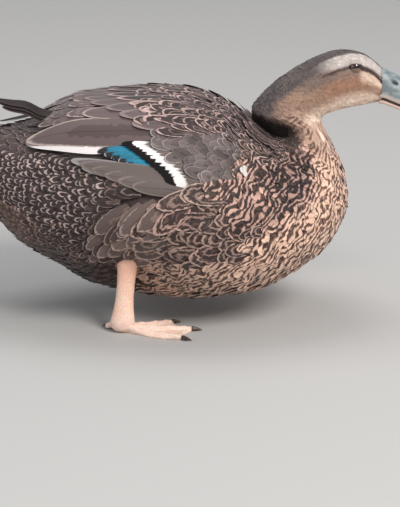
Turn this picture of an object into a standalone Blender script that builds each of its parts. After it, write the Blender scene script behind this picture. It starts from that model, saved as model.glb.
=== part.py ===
"""Duck hen, standing, neck drawn in: faceted solids in millimetres, put out in metres.

X runs towards the bill, Y towards the bird's left side, Z up; the floor is z = 0.
The body is one loft along a path from the tail over the trunk and neck to the
bill, parted by thin cuts.
"""

import bpy
import numpy as np

# driving sizes, millimetres
GAP = 0.3                   # air between neighbouring nodes
ORIGIN_SHIFT = 13.3         # moves the middle of the length over the origin

# body stations: name, top (x, z), underside (x, z), half width,
# drop of the widest point, fullness of the upper and of the lower half
STATIONS = (
    ("covert_tip", (-200, 127), (-200, 122), 20, 0.00, 0.85, 0.85),
    ("tail_root", (-178, 134), (-178, 110), 29, 0.00, 0.85, 0.90),
    ("vent", (-156, 141), (-157, 93), 37, 0.00, 0.85, 0.95),
    ("undertail", (-137, 146), (-137, 76), 46, 0.00, 0.85, 1.00),
    ("rump", (-114, 151), (-118, 57), 59, -0.05, 0.85, 1.05),
    ("hip", (-89, 160), (-92, 42), 72, -0.06, 0.85, 1.10),
    ("loin", (-63, 169), (-65, 25), 82, -0.07, 0.85, 1.12),
    ("back", (-32, 176), (-32, 16), 88, -0.08, 0.84, 1.12),
    ("mid", (3, 178), (3, 14), 90, -0.10, 0.83, 1.05),
    ("mantle", (30, 172), (36, 17), 88, -0.12, 0.84, 0.98),
    ("shoulder", (48, 160), (67, 23), 82, -0.10, 0.86, 0.94),
    ("keel", (60, 151), (95, 38), 75, -0.10, 0.88, 0.92),
    ("breast", (68, 146), (120, 59), 66, -0.08, 0.90, 0.92),
    ("crop", (74, 143), (133, 86), 54, -0.05, 0.94, 0.95),
    ("neck_base", (79, 142), (130, 113), 40, 0.00, 1.00, 1.00),
    ("neck_low", (83, 145), (120, 135), 28, 0.00, 1.00, 1.00),
    ("neck", (80, 151), (113, 149), 24, 0.00, 1.00, 1.00),
    ("nape_low", (67, 156), (113, 154.5), 22.5, 0.00, 1.00, 1.00),
    ("nape", (58.5, 162.5), (115, 157), 22, 0.00, 1.00, 1.00),
    ("nape_top", (65, 172.5), (119, 159), 21.5, 0.00, 1.00, 1.00),
    ("occiput", (80, 186), (125, 161), 21.5, -0.05, 0.95, 0.95),
    ("crown", (101, 200.5), (131, 162.5), 22, -0.10, 0.95, 0.92),
    ("brow", (123, 209.5), (139, 164), 20.5, -0.12, 0.92, 0.92),
    ("forehead", (143, 206.5), (148, 165.5), 16, -0.12, 0.90, 0.92),
    ("bill_base", (157.5, 193.8), (157, 167.5), 11.5, -0.15, 0.88, 0.90),
)
TAIL_CUT = 1.5              # stations where the body is parted
NECK_CUT = 14.0
HEAD_CUT = 18.5
BILL_CUT = 24.0

# the legs' hollows under the flank feathers: right and left station, angle; reach; depth
GROIN_AT = (6.9, 7.5, 124.0)
GROIN_REACH = (1.0, 28.0)
GROIN_DEPTH = 19.0

# folded wing, laid on the body: start and end station, edges in degrees
WING_SPAN = (3.7, 11.0)
WING_TOP = (33, 22, 15, 12, 11, 11, 12, 14, 19, 30)
WING_LOW = (38, 50, 56, 60, 63, 65.5, 66.5, 65, 61, 42)
WING_DEPTH = 7.0            # how deep the wing lies in the trunk at the shoulder
WING_TIP_THICK = 1.6
WING_RISE = 1.2
BACK_LIFT = 8.0             # the folded wings stand this far over the rump

PRIMARY_START = (-76.0, 23.0)
PRIMARY_END_Y = 8.0
PRIMARY_LENGTH = 62.0
PRIMARY_RIGHT = (168.0, 164.6, 162.8, 163.5, 166.5, 172.0)   # heights along the feather
PRIMARY_LEFT = (167.4, 162.8, 158.4, 155.0, 152.0, 149.6)
PRIMARY_WIDTH = 12.0
PRIMARY_ROLL = (0.42, 0.12)   # fall of the outer edge, right and left
PRIMARY_THICK = 1.2

TAIL_PIVOT = (-150.0, 142.0)
TAIL_REACH = 84.0
TAIL_SPREAD = 33.0
TAIL_SLOPE = 0.29
TAIL_THICK = (3.2, 1.2)
TAIL_FEATHERS = 9

EYE_AT = (136.0, 16.8, 197.0)
EYE_RADIUS = 5.4

BILL_LENGTH = 50.0
CULMEN = (193.3, 190.4, 187.3, 183.5, 178.6, 172.8, 167.0, 162.0, 157.2)
TOMIUM = (172.4, 170.2, 167.6, 165.2, 163.0, 160.9, 158.8, 156.8, 154.6)
BILL_HALF = (10.6, 10.8, 10.7, 10.7, 11.2, 12.0, 12.6, 11.4, 4.5)
LOWER_SHARE = 0.93
LOWER_DEPTH = 7.0

LEG_Y = 56.0
NEAR_FOOT_X = -43.0
FAR_FOOT_X = -22.0
HOCK_Z = 55.0
HUB_Z = 9.0
SHANK_HALF = (7.4, 5.1, 5.4, 6.8)
TOES = (("inner", 24.0, 44.0), ("middle", 1.0, 56.0), ("outer", -23.0, 53.0))
TOE_RADIUS = (4.4, 2.9)
WEB_THICK = 1.7
CLAW_LENGTH = 7.0
HIND_TOE = 9.0
HIND_TURN = 32.0             # degrees inward from straight back

# node colours and roughness, by the first word of the node's name
LOOKS = {
    "trunk": ((0.16, 0.11, 0.09), 0.8),
    "neck": ((0.30, 0.21, 0.16), 0.8),
    "head": ((0.28, 0.20, 0.15), 0.8),
    "tail": ((0.13, 0.09, 0.07), 0.8),
    "wing": ((0.15, 0.12, 0.11), 0.7),
    "thigh": ((0.12, 0.08, 0.07), 0.8),
    "shank": ((0.80, 0.42, 0.28), 0.5),
    "foot": ((0.62, 0.42, 0.33), 0.55),
    "claw": ((0.08, 0.06, 0.05), 0.4),
    "bill": ((0.42, 0.46, 0.45), 0.35),
    "eye": ((0.02, 0.01, 0.01), 0.1),
}


def rows(table):
    """Rows of numbers: top x, z, underside x, z, half width, drop, two fullnesses."""
    return np.array([(d[0], d[1], v[0], v[1], w, k, pu, pl)
                     for _, d, v, w, k, pu, pl in table], float)


BODY = rows(STATIONS)
LAST = len(STATIONS) - 1


def along(table, t):
    """Catmull-Rom curve through the rows of a table at parameter t (any shape)."""
    t = np.asarray(t, float)
    flat = np.clip(t.ravel(), 0, len(table) - 1 - 1e-9)
    i = flat.astype(int)
    f = (flat - i)[:, None]

    def row(j):
        return table[np.clip(j, 0, len(table) - 1)]

    a, b, c, d = row(i - 1), row(i), row(i + 1), row(i + 2)
    out = 0.5 * (2 * b + (c - a) * f + (2 * a - 5 * b + 4 * c - d) * f ** 2
                 + (3 * b - a - 3 * c + d) * f ** 3)
    return out.reshape(t.shape + (table.shape[1],))


def curve(values, a):
    """Smooth curve through evenly spaced values, a from 0 to 1."""
    table = np.array(values, float)[:, None]
    return along(table, np.asarray(a, float) * (len(values) - 1))[..., 0]


def body_point(t, theta, side=1.0, lift=None):
    """Point of the body's loft: theta 0 at the top, 180 below; side 1 is the right.

    Across the section the width is half * sin(theta) ** fullness, and the height
    runs as cos(theta) + drop * sin(theta) ** 2 between top and underside.
    lift raises the top by so many millimetres under the folded wings.
    """
    t = np.asarray(t, float)
    theta = np.asarray(theta, float)
    s = along(BODY, t)
    dx, dz, vx, vz, w, k, pu, pl = [s[..., i] for i in range(8)]
    if lift is not None:
        dz = dz + lift * np.exp(-((t - 5.4) / 1.5) ** 2)
    rad = np.radians(theta)
    up = np.cos(rad) + k * np.sin(rad) ** 2
    blend = 0.5 - 0.5 * np.cos(rad)
    full = pu * (1 - blend) + pl * blend
    across = np.abs(np.sin(rad)) ** full
    x = (dx + vx) / 2 + (dx - vx) / 2 * up
    z = (dz + vz) / 2 + (dz - vz) / 2 * up
    y = -side * w * across * np.sign(np.sin(rad) + 1e-12)
    station = np.where(y < 0, GROIN_AT[0], GROIN_AT[1])
    dent = GROIN_DEPTH * np.exp(-((t - station) / GROIN_REACH[0]) ** 2
                                - ((np.abs(theta) - GROIN_AT[2]) / GROIN_REACH[1]) ** 2)
    y = y - np.sign(y) * dent * 0.9
    z = z + dent * 0.45
    return np.stack([x, y, z], -1)


def faces_grid(n, m, wrap):
    """Triangles of an n by m grid of points; wrap joins the last column to the first."""
    i, j = np.meshgrid(np.arange(n - 1), np.arange(m if wrap else m - 1), indexing="ij")
    k = (j + 1) % m
    low, high = i * m, (i + 1) * m
    first = np.stack([low + j, low + k, high + k], -1).reshape(-1, 3)
    second = np.stack([low + j, high + k, high + j], -1).reshape(-1, 3)
    return np.vstack([first, second])


def material_for(name):
    """The plain material of a node, picked by the first word of its name."""
    colour, rough = LOOKS[name.split("_")[0]]
    material = bpy.data.materials.get(name.split("_")[0])
    if material is None:
        material = bpy.data.materials.new(name.split("_")[0])
        material.use_nodes = True
        shader = material.node_tree.nodes["Principled BSDF"]
        shader.inputs["Base Color"].default_value = colour + (1.0,)
        shader.inputs["Roughness"].default_value = rough
        shader.inputs["Metallic"].default_value = 0.0
    return material


def make(name, points, faces, helper=False):
    """Object from points in millimetres; normals are turned outward."""
    points = np.asarray(points, float).copy()
    points[:, 0] += ORIGIN_SHIFT
    mesh = bpy.data.meshes.new(name)
    mesh.from_pydata((points / 1000.0).tolist(), [], [list(map(int, f)) for f in faces])
    mesh.update()
    volume = 0.0
    mesh.calc_loop_triangles()
    co = points / 1000.0
    for tri in mesh.loop_triangles:
        a, b, c = (co[i] for i in tri.vertices)
        volume += float(np.dot(a, np.cross(b, c)))
    if volume < 0:
        mesh.flip_normals()
    obj = bpy.data.objects.new(name, mesh)
    bpy.context.collection.objects.link(obj)
    if helper:
        obj.hide_render = True
        obj.display_type = "WIRE"
    else:
        mesh.materials.append(material_for(name))
    return obj


def tube(name, rings, helper=False):
    """Closed body from a stack of equal rings, capped by fans to the ring's middle."""
    rings = np.asarray(rings, float)
    n, m, _ = rings.shape
    points = np.vstack([rings.reshape(-1, 3), rings[0].mean(0), rings[-1].mean(0)])
    faces = faces_grid(n, m, True).tolist()
    for j in range(m):
        k = (j + 1) % m
        faces.append([k, j, n * m])
        faces.append([(n - 1) * m + j, (n - 1) * m + k, n * m + 1])
    return make(name, points, faces, helper)


def slab(name, outer, inner, helper=False):
    """Closed body between two grids of the same shape, joined round their rims."""
    n, m, _ = outer.shape
    points = np.vstack([outer.reshape(-1, 3), inner.reshape(-1, 3)])
    faces = faces_grid(n, m, False).tolist()
    faces += [[f[2] + n * m, f[1] + n * m, f[0] + n * m] for f in faces]
    rim = ([(i, 0) for i in range(n)] + [(n - 1, j) for j in range(1, m)]
           + [(i, m - 1) for i in range(n - 2, -1, -1)] + [(0, j) for j in range(m - 2, 0, -1)])
    ids = [i * m + j for i, j in rim]
    for a, b in zip(ids, ids[1:] + ids[:1]):
        faces.append([a, b, b + n * m])
        faces.append([a, b + n * m, a + n * m])
    return make(name, points, faces, helper)


def boolean(obj, other, operation):
    """Exact Boolean of two bodies, kept as a live modifier."""
    mod = obj.modifiers.new(operation.lower(), "BOOLEAN")
    mod.operation = operation
    mod.solver = "EXACT"
    mod.object = other
    return mod


def section_normal(t):
    """Unit normal of the section plane at t, pointing along the path to the bill."""
    s = along(BODY, np.array([float(t)]))[0]
    h = np.array([s[0] - s[2], s[1] - s[3]])
    n = np.array([h[1], -h[0]]) / np.hypot(*h)
    return np.array([n[0], 0.0, n[1]])


def body_length(name, start, end, steps, ring):
    """One length of the body's loft, its ends drawn back by half the gap."""
    t = np.linspace(start, end, steps)
    theta = np.linspace(0, 360, ring, endpoint=False)
    theta = np.where(theta > 180, theta - 360, theta)
    rings = body_point(t[:, None], theta[None, :])
    if start > 0:
        rings[0] += section_normal(start) * GAP / 2
    rings[-1] -= section_normal(end) * GAP / 2
    return tube(name, rings)


for leftover in list(bpy.data.objects):
    bpy.data.objects.remove(leftover, do_unlink=True)

# the body, parted across
trunk = body_length("trunk", TAIL_CUT, NECK_CUT, 30, 28)
neck = body_length("neck", NECK_CUT, HEAD_CUT, 9, 24)
head = body_length("head", HEAD_CUT, BILL_CUT, 15, 24)
tail = body_length("tail", 0.0, TAIL_CUT, 5, 20)


def wing_grids(side, grow):
    """Outer and inner grid of a folded wing, grown all round by grow millimetres."""
    n, m = 16, 6
    a = np.linspace(0, 1, n)[:, None]
    b = np.linspace(0, 1, m)[None, :]
    t = WING_SPAN[0] + (WING_SPAN[1] - WING_SPAN[0]) * a
    margin = np.degrees(grow / (60 + 25 * np.sin(np.pi * a)))
    top = curve(WING_TOP, a) - margin
    low = curve(WING_LOW, a) + margin
    theta = top + (low - top) * b
    t = t + (a > 0.999) * grow / 26.0 - (a < 0.001) * grow / 22.0
    skin = body_point(t + 0 * b, theta, side, BACK_LIFT)
    dt = body_point(t + 0.02 + 0 * b, theta, side, BACK_LIFT) - skin
    dh = body_point(t + 0 * b, theta + 0.5, side, BACK_LIFT) - skin
    normal = np.cross(dt, dh) * side
    normal /= np.linalg.norm(normal, axis=-1, keepdims=True)
    normal *= np.sign((normal * np.array([0, -side, 0.4])).sum(-1, keepdims=True))
    edge = np.sin(np.pi * np.clip(b, 0.0, 1.0)) ** 0.5
    depth = WING_TIP_THICK + (WING_DEPTH - WING_TIP_THICK) * np.clip(a * 1.6, 0, 1) ** 0.8
    outer = skin + normal * (WING_RISE * edge[..., None] * np.minimum(1, a * 4)[..., None] + grow)
    inner = skin - normal * (depth[..., None] + grow)
    return outer, inner


def primary_grids(side, grow):
    """Long wing-tip feathers, laid over the rump and curved up at the point."""
    n, m = 7, 4
    a = np.linspace(0, 1, n)[:, None]
    b = np.linspace(-1, 1, m)[None, :]
    x = PRIMARY_START[0] - PRIMARY_LENGTH * a + 0 * b
    half = PRIMARY_WIDTH / 2 * np.sqrt(np.clip(1.02 - a ** 2.2, 0, 1)) + grow
    path = PRIMARY_RIGHT if side > 0 else PRIMARY_LEFT
    roll = PRIMARY_ROLL[0 if side > 0 else 1] * np.clip(a * 2.5, 0, 1)
    y = -side * (PRIMARY_START[1] + (PRIMARY_END_Y - PRIMARY_START[1]) * a) + half * b
    z = curve(path, a) + side * roll * half * b - 0.8 * b ** 2
    up = np.array([0.0, 0.0, 1.0])
    mid = np.stack([x, y, z], -1)
    return mid + up * (PRIMARY_THICK / 2 + grow), mid - up * (PRIMARY_THICK / 2 + grow)


wings = {}
for side, word in ((1.0, "right"), (-1.0, "left")):
    outer, inner = wing_grids(side, 0.0)
    wings[word] = slab("wing_" + word, outer, inner)
    cut = slab("wing_room_" + word, *wing_grids(side, GAP), helper=True)
    boolean(trunk, cut, "DIFFERENCE")
    boolean(wings[word], slab("primary_tip_" + word, *primary_grids(side, 0.0), helper=True), "UNION")


def fan_grids():
    """Upper and lower grid of the spread tail: radius by feather, drooping edges."""
    n, m = 6, 4 * TAIL_FEATHERS + 1
    r = np.linspace(0.06, 1, n)[:, None]
    u = np.linspace(-1, 1, m)[None, :]
    phi = np.radians(TAIL_SPREAD * u)
    tip = 1 - 0.16 * u ** 2 - 0.035 * (1 - np.abs(np.cos(np.pi * (u + 1) / 2 * TAIL_FEATHERS)))
    radius = TAIL_REACH * r * (1 - (1 - tip) * r ** 3)
    x = TAIL_PIVOT[0] - radius * np.cos(phi)
    y = radius * np.sin(phi)
    z = TAIL_PIVOT[1] - TAIL_SLOPE * radius - 5.0 * (u * r) ** 2 + 3.0 * r ** 3
    thick = TAIL_THICK[0] + (TAIL_THICK[1] - TAIL_THICK[0]) * r + 0 * u
    upper = np.stack([x, y, z + 0 * u], -1)
    lower = upper - np.stack([0 * thick, 0 * thick, thick], -1)
    return upper, lower


fan = slab("tail_fan", *fan_grids(), helper=True)
keep = np.array([(x, y, z) for x in (-260.0, -167.4) for y in (-80.0, 80.0) for z in (60.0, 200.0)])
keep_faces = [(0, 1, 3, 2), (4, 6, 7, 5), (0, 4, 5, 1), (2, 3, 7, 6), (0, 2, 6, 4), (1, 5, 7, 3)]
boolean(fan, make("tail_room", keep, keep_faces, helper=True), "INTERSECT")
boolean(tail, fan, "UNION")


def ball(name, middle, radius, n=7, m=12, helper=False):
    """Sphere of rings about the sideways axis with small end fans."""
    lat = np.linspace(4, 176, n)
    lon = np.radians(np.linspace(0, 360, m, endpoint=False))
    lat = np.radians(lat)[:, None]
    rings = np.stack([middle[0] + radius * np.sin(lat) * np.cos(lon),
                      middle[1] + radius * np.cos(lat) + 0 * lon,
                      middle[2] + radius * np.sin(lat) * np.sin(lon)], -1)
    return tube(name, rings, helper)


for side, word in ((1.0, "right"), (-1.0, "left")):
    spot = (EYE_AT[0], -side * (EYE_AT[1] - EYE_RADIUS + 1.6), EYE_AT[2])
    ball("eye_" + word, spot, EYE_RADIUS)
    boolean(head, ball("eye_room_" + word, spot, EYE_RADIUS + GAP + 0.15, 7, 12, True), "DIFFERENCE")


def bill_rings(steps, ring, lower):
    """Rings of the bill: a rounded vault above the tomium, or the thin part below it."""
    a = np.linspace(0, 1, steps)[:, None]
    ang = np.radians(np.linspace(0, 360, ring, endpoint=False))[None, :]
    reach = BILL_LENGTH * (LOWER_SHARE if lower else 1.0)
    q = a * (LOWER_SHARE if lower else 1.0)
    tom = curve(TOMIUM, q)
    half = curve(BILL_HALF, q)
    x = 157.35 + GAP + reach * a + 0 * ang
    if lower:
        depth = LOWER_DEPTH * (1 - 0.75 * a ** 2)
        half = half * 0.86
        z = tom - GAP - depth * 0.5 * (1 - np.sin(ang)) * (0.75 + 0.25 * np.cos(ang) ** 2)
        y = half * np.cos(ang)
    else:
        top = curve(CULMEN, q)
        z = tom + (top - tom) * np.clip(np.sin(ang), 0, 1) ** 0.9
        z = z - np.clip(np.sin(ang), -1, 0) * 0.9 * np.cos(ang) ** 2
        y = half * np.sign(np.cos(ang)) * np.abs(np.cos(ang)) ** (0.72 + 0.1 * a)
    return np.stack([x, y, z], -1)


tube("bill_upper", bill_rings(12, 18, False))
tube("bill_lower", bill_rings(8, 10, True))


def foot(side, word, x0):
    """Webbed foot, shank, claws and hind toe on flat soles at z = 0.

    The web is a fan of points about the hub; the toes are ridges in its height:
    height = web + ridge * exp(-(angle off the toe / ridge width) ** 2).
    """
    y0 = -side * LEG_Y
    n, m = 6, 21
    r = np.linspace(0.03, 1, n)[:, None]
    ang = np.linspace(31, -30, m)[None, :]
    knots = np.array([31, 24, 12.5, 1, -11, -23, -30.0])
    reach = np.array([28, 44, 45, 56, 49, 53, 30.0])
    far = np.interp(-ang, -knots, reach)
    radius = far * r
    turn = np.radians(ang) * side
    x = x0 + radius * np.cos(turn)
    y = y0 + radius * np.sin(turn)
    ridge = np.zeros_like(x)
    for _, at, length in TOES:
        arc = radius * np.radians(ang - at)
        size = TOE_RADIUS[0] + (TOE_RADIUS[1] - TOE_RADIUS[0]) * r
        ridge = np.maximum(ridge, 1.35 * size * np.exp(-(arc / (size * 0.95)) ** 2))
    top = np.maximum(WEB_THICK, ridge) + 5.0 * np.exp(-(radius / 9.0) ** 2)
    upper = np.stack([x, y, top], -1)
    lower = np.stack([x, y, 0 * top], -1)
    body = slab("foot_" + word, upper, lower)
    bend = np.linspace(0, 1, 5)[:, None]
    spin = np.radians(np.linspace(0, 360, 10, endpoint=False))[None, :]
    half = curve(SHANK_HALF, bend)
    low = np.array([x0 + 1.5, y0, HUB_Z])
    high = np.array([x0 + 7.0, y0 + side * 1.0, HOCK_Z])
    mid = low + (high - low) * bend[..., None]
    rings = mid + np.stack([half * 1.12 * np.cos(spin), half * 0.82 * np.sin(spin),
                            0 * half * spin], -1)
    shank = tube("shank_" + word, rings)
    knob = ball("ankle_" + word, (x0 + 1.0, y0, 7.2), 7.0, 6, 10, True)
    heel_a = np.linspace(0, 1, 4)[:, None]
    back = np.radians(180.0 - HIND_TURN) * side
    heel_way = np.array([np.cos(back), np.sin(back), 0.0])
    heel_mid = np.array([x0 - 2.0, y0 + side * 2.0, 6.2]) + heel_a[..., None] * (
        HIND_TOE * heel_way + np.array([0, 0, -3.4]))
    heel_half = 2.8 - 0.9 * heel_a
    heel = heel_mid + np.stack([0 * spin + 0 * heel_a, heel_half * np.cos(spin),
                                heel_half * np.sin(spin)], -1)
    boolean(body, knob, "UNION")
    boolean(body, tube("hind_toe_" + word, heel, helper=True), "UNION")
    room = tube("shank_room_" + word, mid + np.stack(
        [(half + GAP) * 1.12 * np.cos(spin), (half + GAP) * 0.86 * np.sin(spin),
         0 * half * spin], -1) + (bend[..., None] - 0.5) * np.array([0, 0, 2 * GAP]),
        helper=True)
    boolean(body, room, "DIFFERENCE")
    boolean(trunk, room, "DIFFERENCE")
    for toe, at, length in TOES + (("hind", 180.0 - HIND_TURN, HIND_TOE),):
        turn = np.radians(at) * side
        way = np.array([np.cos(turn), np.sin(turn), 0.0])
        flat = np.array([-np.sin(turn), np.cos(turn), 0.0])
        c = np.linspace(0, 1, 4)[:, None, None]
        hind = toe == "hind"
        size = CLAW_LENGTH * (0.6 if hind else 1.0)
        root = np.array([x0 - 2.0, y0 + side * 2.0, 0.0]) if hind else np.array([x0, y0, 0.0])
        base = root + way * (length + GAP + (0.3 if hind else 0.0))
        rise = (2.9 if hind else 2.2) - 1.1 * c ** 2
        thick = (1.3 if hind else 1.9) * (1 - 0.85 * c)
        claw = (base + way * size * c + flat * thick * 0.9 * np.cos(spin)[..., None]
                + np.array([0, 0, 1.0]) * (rise + np.minimum(thick, rise) * np.sin(spin)[..., None]))
        tube("claw_%s_%s" % (toe, word), claw)
    return shank, mid, half


for side, word, x0 in ((1.0, "right", NEAR_FOOT_X), (-1.0, "left", FAR_FOOT_X)):
    shank, mid, half = foot(side, word, x0)
    y0 = -side * LEG_Y
    a = np.linspace(0, 1, 5)[:, None]
    spin = np.radians(np.linspace(0, 360, 12, endpoint=False))[None, :]
    low = np.array([x0 + 7.0, y0 + side * 1.0, HOCK_Z + GAP])
    high = np.array([x0 + 26.0, y0 + side * 14.0, HOCK_Z + 34.0])
    girth = curve((7.4, 10.5, 14.0, 17.0), a)
    rings = low + (high - low) * a[..., None] + np.stack(
        [girth * 1.1 * np.cos(spin), girth * 0.85 * np.sin(spin), 0 * spin * a], -1)
    thigh = tube("thigh_" + word, rings)
    wide = np.linspace(-0.06, 1.02, 5)[:, None]
    room = curve((7.4, 10.5, 14.0, 17.0), np.clip(wide, 0, 1)) + GAP * 1.6
    grown = low + (high - low) * wide[..., None] + np.stack(
        [room * 1.1 * np.cos(spin), room * 0.87 * np.sin(spin), 0 * spin * wide], -1)
    boolean(trunk, tube("thigh_room_" + word, grown, helper=True), "DIFFERENCE")
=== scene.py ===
"""Duck hen, standing with her neck drawn in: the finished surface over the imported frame.

Lengths in this script are millimetres in the bird's own frame: X towards the bill, Y towards
her left side, Z up, z = 0 on the floor. place() moves them to the row's frame, in metres.
"""

import bmesh
import bpy
import math
import numpy as np
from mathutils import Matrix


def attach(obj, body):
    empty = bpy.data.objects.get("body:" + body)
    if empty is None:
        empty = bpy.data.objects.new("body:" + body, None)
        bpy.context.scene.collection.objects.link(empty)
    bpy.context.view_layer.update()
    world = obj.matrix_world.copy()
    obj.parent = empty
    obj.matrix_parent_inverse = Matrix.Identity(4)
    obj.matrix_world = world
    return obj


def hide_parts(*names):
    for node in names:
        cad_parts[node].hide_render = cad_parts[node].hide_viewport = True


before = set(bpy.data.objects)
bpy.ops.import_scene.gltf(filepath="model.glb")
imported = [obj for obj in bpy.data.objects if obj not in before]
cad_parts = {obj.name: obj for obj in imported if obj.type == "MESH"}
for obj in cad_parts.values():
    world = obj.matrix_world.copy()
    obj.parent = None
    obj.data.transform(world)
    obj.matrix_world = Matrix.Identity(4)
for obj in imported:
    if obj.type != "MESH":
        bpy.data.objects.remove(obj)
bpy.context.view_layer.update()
bpy.context.scene.view_settings.view_transform = "Standard"

# Floor, soft box lights and the camera: a pale sweep under the bird, seen from her right
# side and a little above, with the bill and tail tip running out of the frame.
VIEW_RISE = math.radians(17.0)       # how far the camera looks down
VIEW_FAR = 1.9                       # metres from the middle of the frame
VIEW_WIDE = 0.312                    # metres of the scene across the frame
VIEW_AIM = (0.0320, 0.0, 0.0453)
HALF_FLOOR = 15.0
LIGHTS = (                           # place, aim, size, power in watts, tint
    ("light_key", (1.1, -1.5, 1.7), (0.03, 0, 0.1), 0.9, 50, (1.0, 0.975, 0.945)),
    ("light_fill", (-1.6, -1.2, 0.9), (0, 0, 0.1), 1.4, 6, (0.93, 0.96, 1.0)),
    ("light_top", (-0.3, 0.5, 1.9), (0, 0, 0.1), 1.1, 13, (0.98, 0.99, 1.0)),
)


def new_material(name, **values):
    """Material, its tree and its Principled shader, with sockets set; _ stands for a space."""
    material = bpy.data.materials.new(name)
    material.use_nodes = True
    shader = material.node_tree.nodes["Principled BSDF"]
    for socket, value in values.items():
        shader.inputs[socket.replace("_", " ")].default_value = value
    return material, material.node_tree, shader


def stand_object(name, data, at, way):
    """Object whose -Z points along way and whose +Y stays upward."""
    obj = bpy.data.objects.new(name, data)
    bpy.context.collection.objects.link(obj)
    obj.location = at
    x, y, z = way / np.linalg.norm(way)
    obj.rotation_euler = (math.acos(-z), 0.0, math.atan2(-x, y))
    return obj


floor_mesh = bpy.data.meshes.new("floor")
floor_mesh.from_pydata([(-HALF_FLOOR, -HALF_FLOOR, 0), (HALF_FLOOR, -HALF_FLOOR, 0),
                        (HALF_FLOOR, HALF_FLOOR, 0), (-HALF_FLOOR, HALF_FLOOR, 0)],
                       [], [(0, 1, 2, 3)])
floor = bpy.data.objects.new("floor", floor_mesh)
bpy.context.collection.objects.link(floor)
floor_mesh.materials.append(
    new_material("floor_paint", Base_Color=(0.47, 0.46, 0.445, 1), Roughness=0.9)[0])

for name, at, aim, size, power, tint in LIGHTS:
    light = bpy.data.lights.new(name, "AREA")
    light.size = size
    light.energy = power
    light.color = tint
    stand_object(name, light, at, np.array(aim) - np.array(at))
world = bpy.data.worlds.new("pale_room")
world.use_nodes = True
world.node_tree.nodes["Background"].inputs["Color"].default_value = (0.84, 0.86, 0.90, 1)
world.node_tree.nodes["Background"].inputs["Strength"].default_value = 0.56
bpy.context.scene.world = world

camera_data = bpy.data.cameras.new("camera")
camera_data.sensor_fit = "HORIZONTAL"
camera_data.sensor_width = 36.0
camera_data.lens = camera_data.sensor_width * VIEW_FAR / VIEW_WIDE
camera_data.clip_end = 100.0
camera_way = np.array([0.0, math.cos(VIEW_RISE), -math.sin(VIEW_RISE)])
bpy.context.scene.camera = stand_object(
    "camera", camera_data, np.array(VIEW_AIM) - camera_way * VIEW_FAR, camera_way)

# The skin: one closed bag from the tail over trunk, neck and head to the bill, with the two
# bare legs and webbed feet grown from it. It lies under the feathers by their depth. The
# body is a loft through named stations, each between a point on the back and one below.
SHIFT = 13.3                         # bird's frame to the row's, along X
STATIONS = (                         # top x, z; underside x, z; half width; drop; fullness
    ("covert_tip", -200, 127, -200, 122, 20, 0.00, 0.85, 0.85),
    ("tail_root", -178, 134, -178, 110, 29, 0.00, 0.85, 0.90),
    ("vent", -156, 141, -157, 93, 37, 0.00, 0.85, 0.95),
    ("undertail", -137, 146, -137, 76, 46, 0.00, 0.85, 1.00),
    ("rump", -114, 151, -118, 57, 59, -0.05, 0.85, 1.05),
    ("hip", -89, 160, -92, 42, 72, -0.06, 0.85, 1.10),
    ("loin", -63, 169, -65, 25, 82, -0.07, 0.85, 1.12),
    ("back", -32, 176, -32, 16, 88, -0.08, 0.84, 1.12),
    ("mid", 3, 178, 3, 14, 90, -0.10, 0.83, 1.05),
    ("mantle", 30, 172, 36, 17, 88, -0.12, 0.84, 0.98),
    ("shoulder", 48, 160, 67, 23, 82, -0.10, 0.86, 0.94),
    ("keel", 60, 151, 95, 38, 75, -0.10, 0.88, 0.92),
    ("breast", 68, 146, 120, 59, 66, -0.08, 0.90, 0.92),
    ("crop", 74, 143, 133, 86, 54, -0.05, 0.94, 0.95),
    ("neck_base", 79, 142, 130, 113, 40, 0.00, 1.00, 1.00),
    ("neck_low", 83, 145, 120, 135, 28, 0.00, 1.00, 1.00),
    ("neck", 80, 151, 113, 149, 24, 0.00, 1.00, 1.00),
    ("nape_low", 67, 156, 113, 154.5, 22.5, 0.00, 1.00, 1.00),
    ("nape", 58.5, 162.5, 115, 157, 22, 0.00, 1.00, 1.00),
    ("nape_top", 65, 172.5, 119, 159, 21.5, 0.00, 1.00, 1.00),
    ("occiput", 80, 186, 125, 161, 21.5, -0.05, 0.95, 0.95),
    ("crown", 101, 199.3, 131, 162.5, 22, -0.04, 0.95, 0.92),
    ("brow", 123, 207.2, 139, 164, 20.5, -0.01, 0.92, 0.92),
    ("forehead", 143, 204.7, 148, 165.5, 16, -0.03, 0.90, 0.92),
    ("bill_base", 157.5, 193.8, 157, 167.5, 11.5, -0.15, 0.88, 0.90),
)
BODY = np.array([row[1:] for row in STATIONS], float)
LAST = len(STATIONS) - 1
GROIN_AT = (6.9, 7.5)                # station of the leg's hollow, right and left
GROIN_ANGLE = 124.0
GROIN_REACH = (1.0, 28.0)
GROIN_DEPTH = 19.0
GROIN_PUSH = (0.9, 0.45)             # shares of the depth that go inward and upward
BACK_LIFT = 8.0                      # folded wings stand this far over the rump
LIFT_AT = (5.4, 1.5)                 # station and reach of that lift
FALL_DEPTH = 2.4                     # their feathers sink together over the back's middle
FALL_WIDE = 24.0                     # degrees
WING_AT = (3.7, 4.5, 5.3, 6.2, 7.0, 7.8, 8.6, 9.4, 10.2, 11.0)
WING_LOW = (38, 50, 57, 62, 66, 68, 68, 66, 61, 42)
COAT_AT = (0, 3, 12, 17, 20, 22, 24)
COAT_DEPTH = (2.0, 4.5, 4.5, 3.0, 1.7, 1.1, 0.5)
rng = np.random.default_rng(11)


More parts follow.
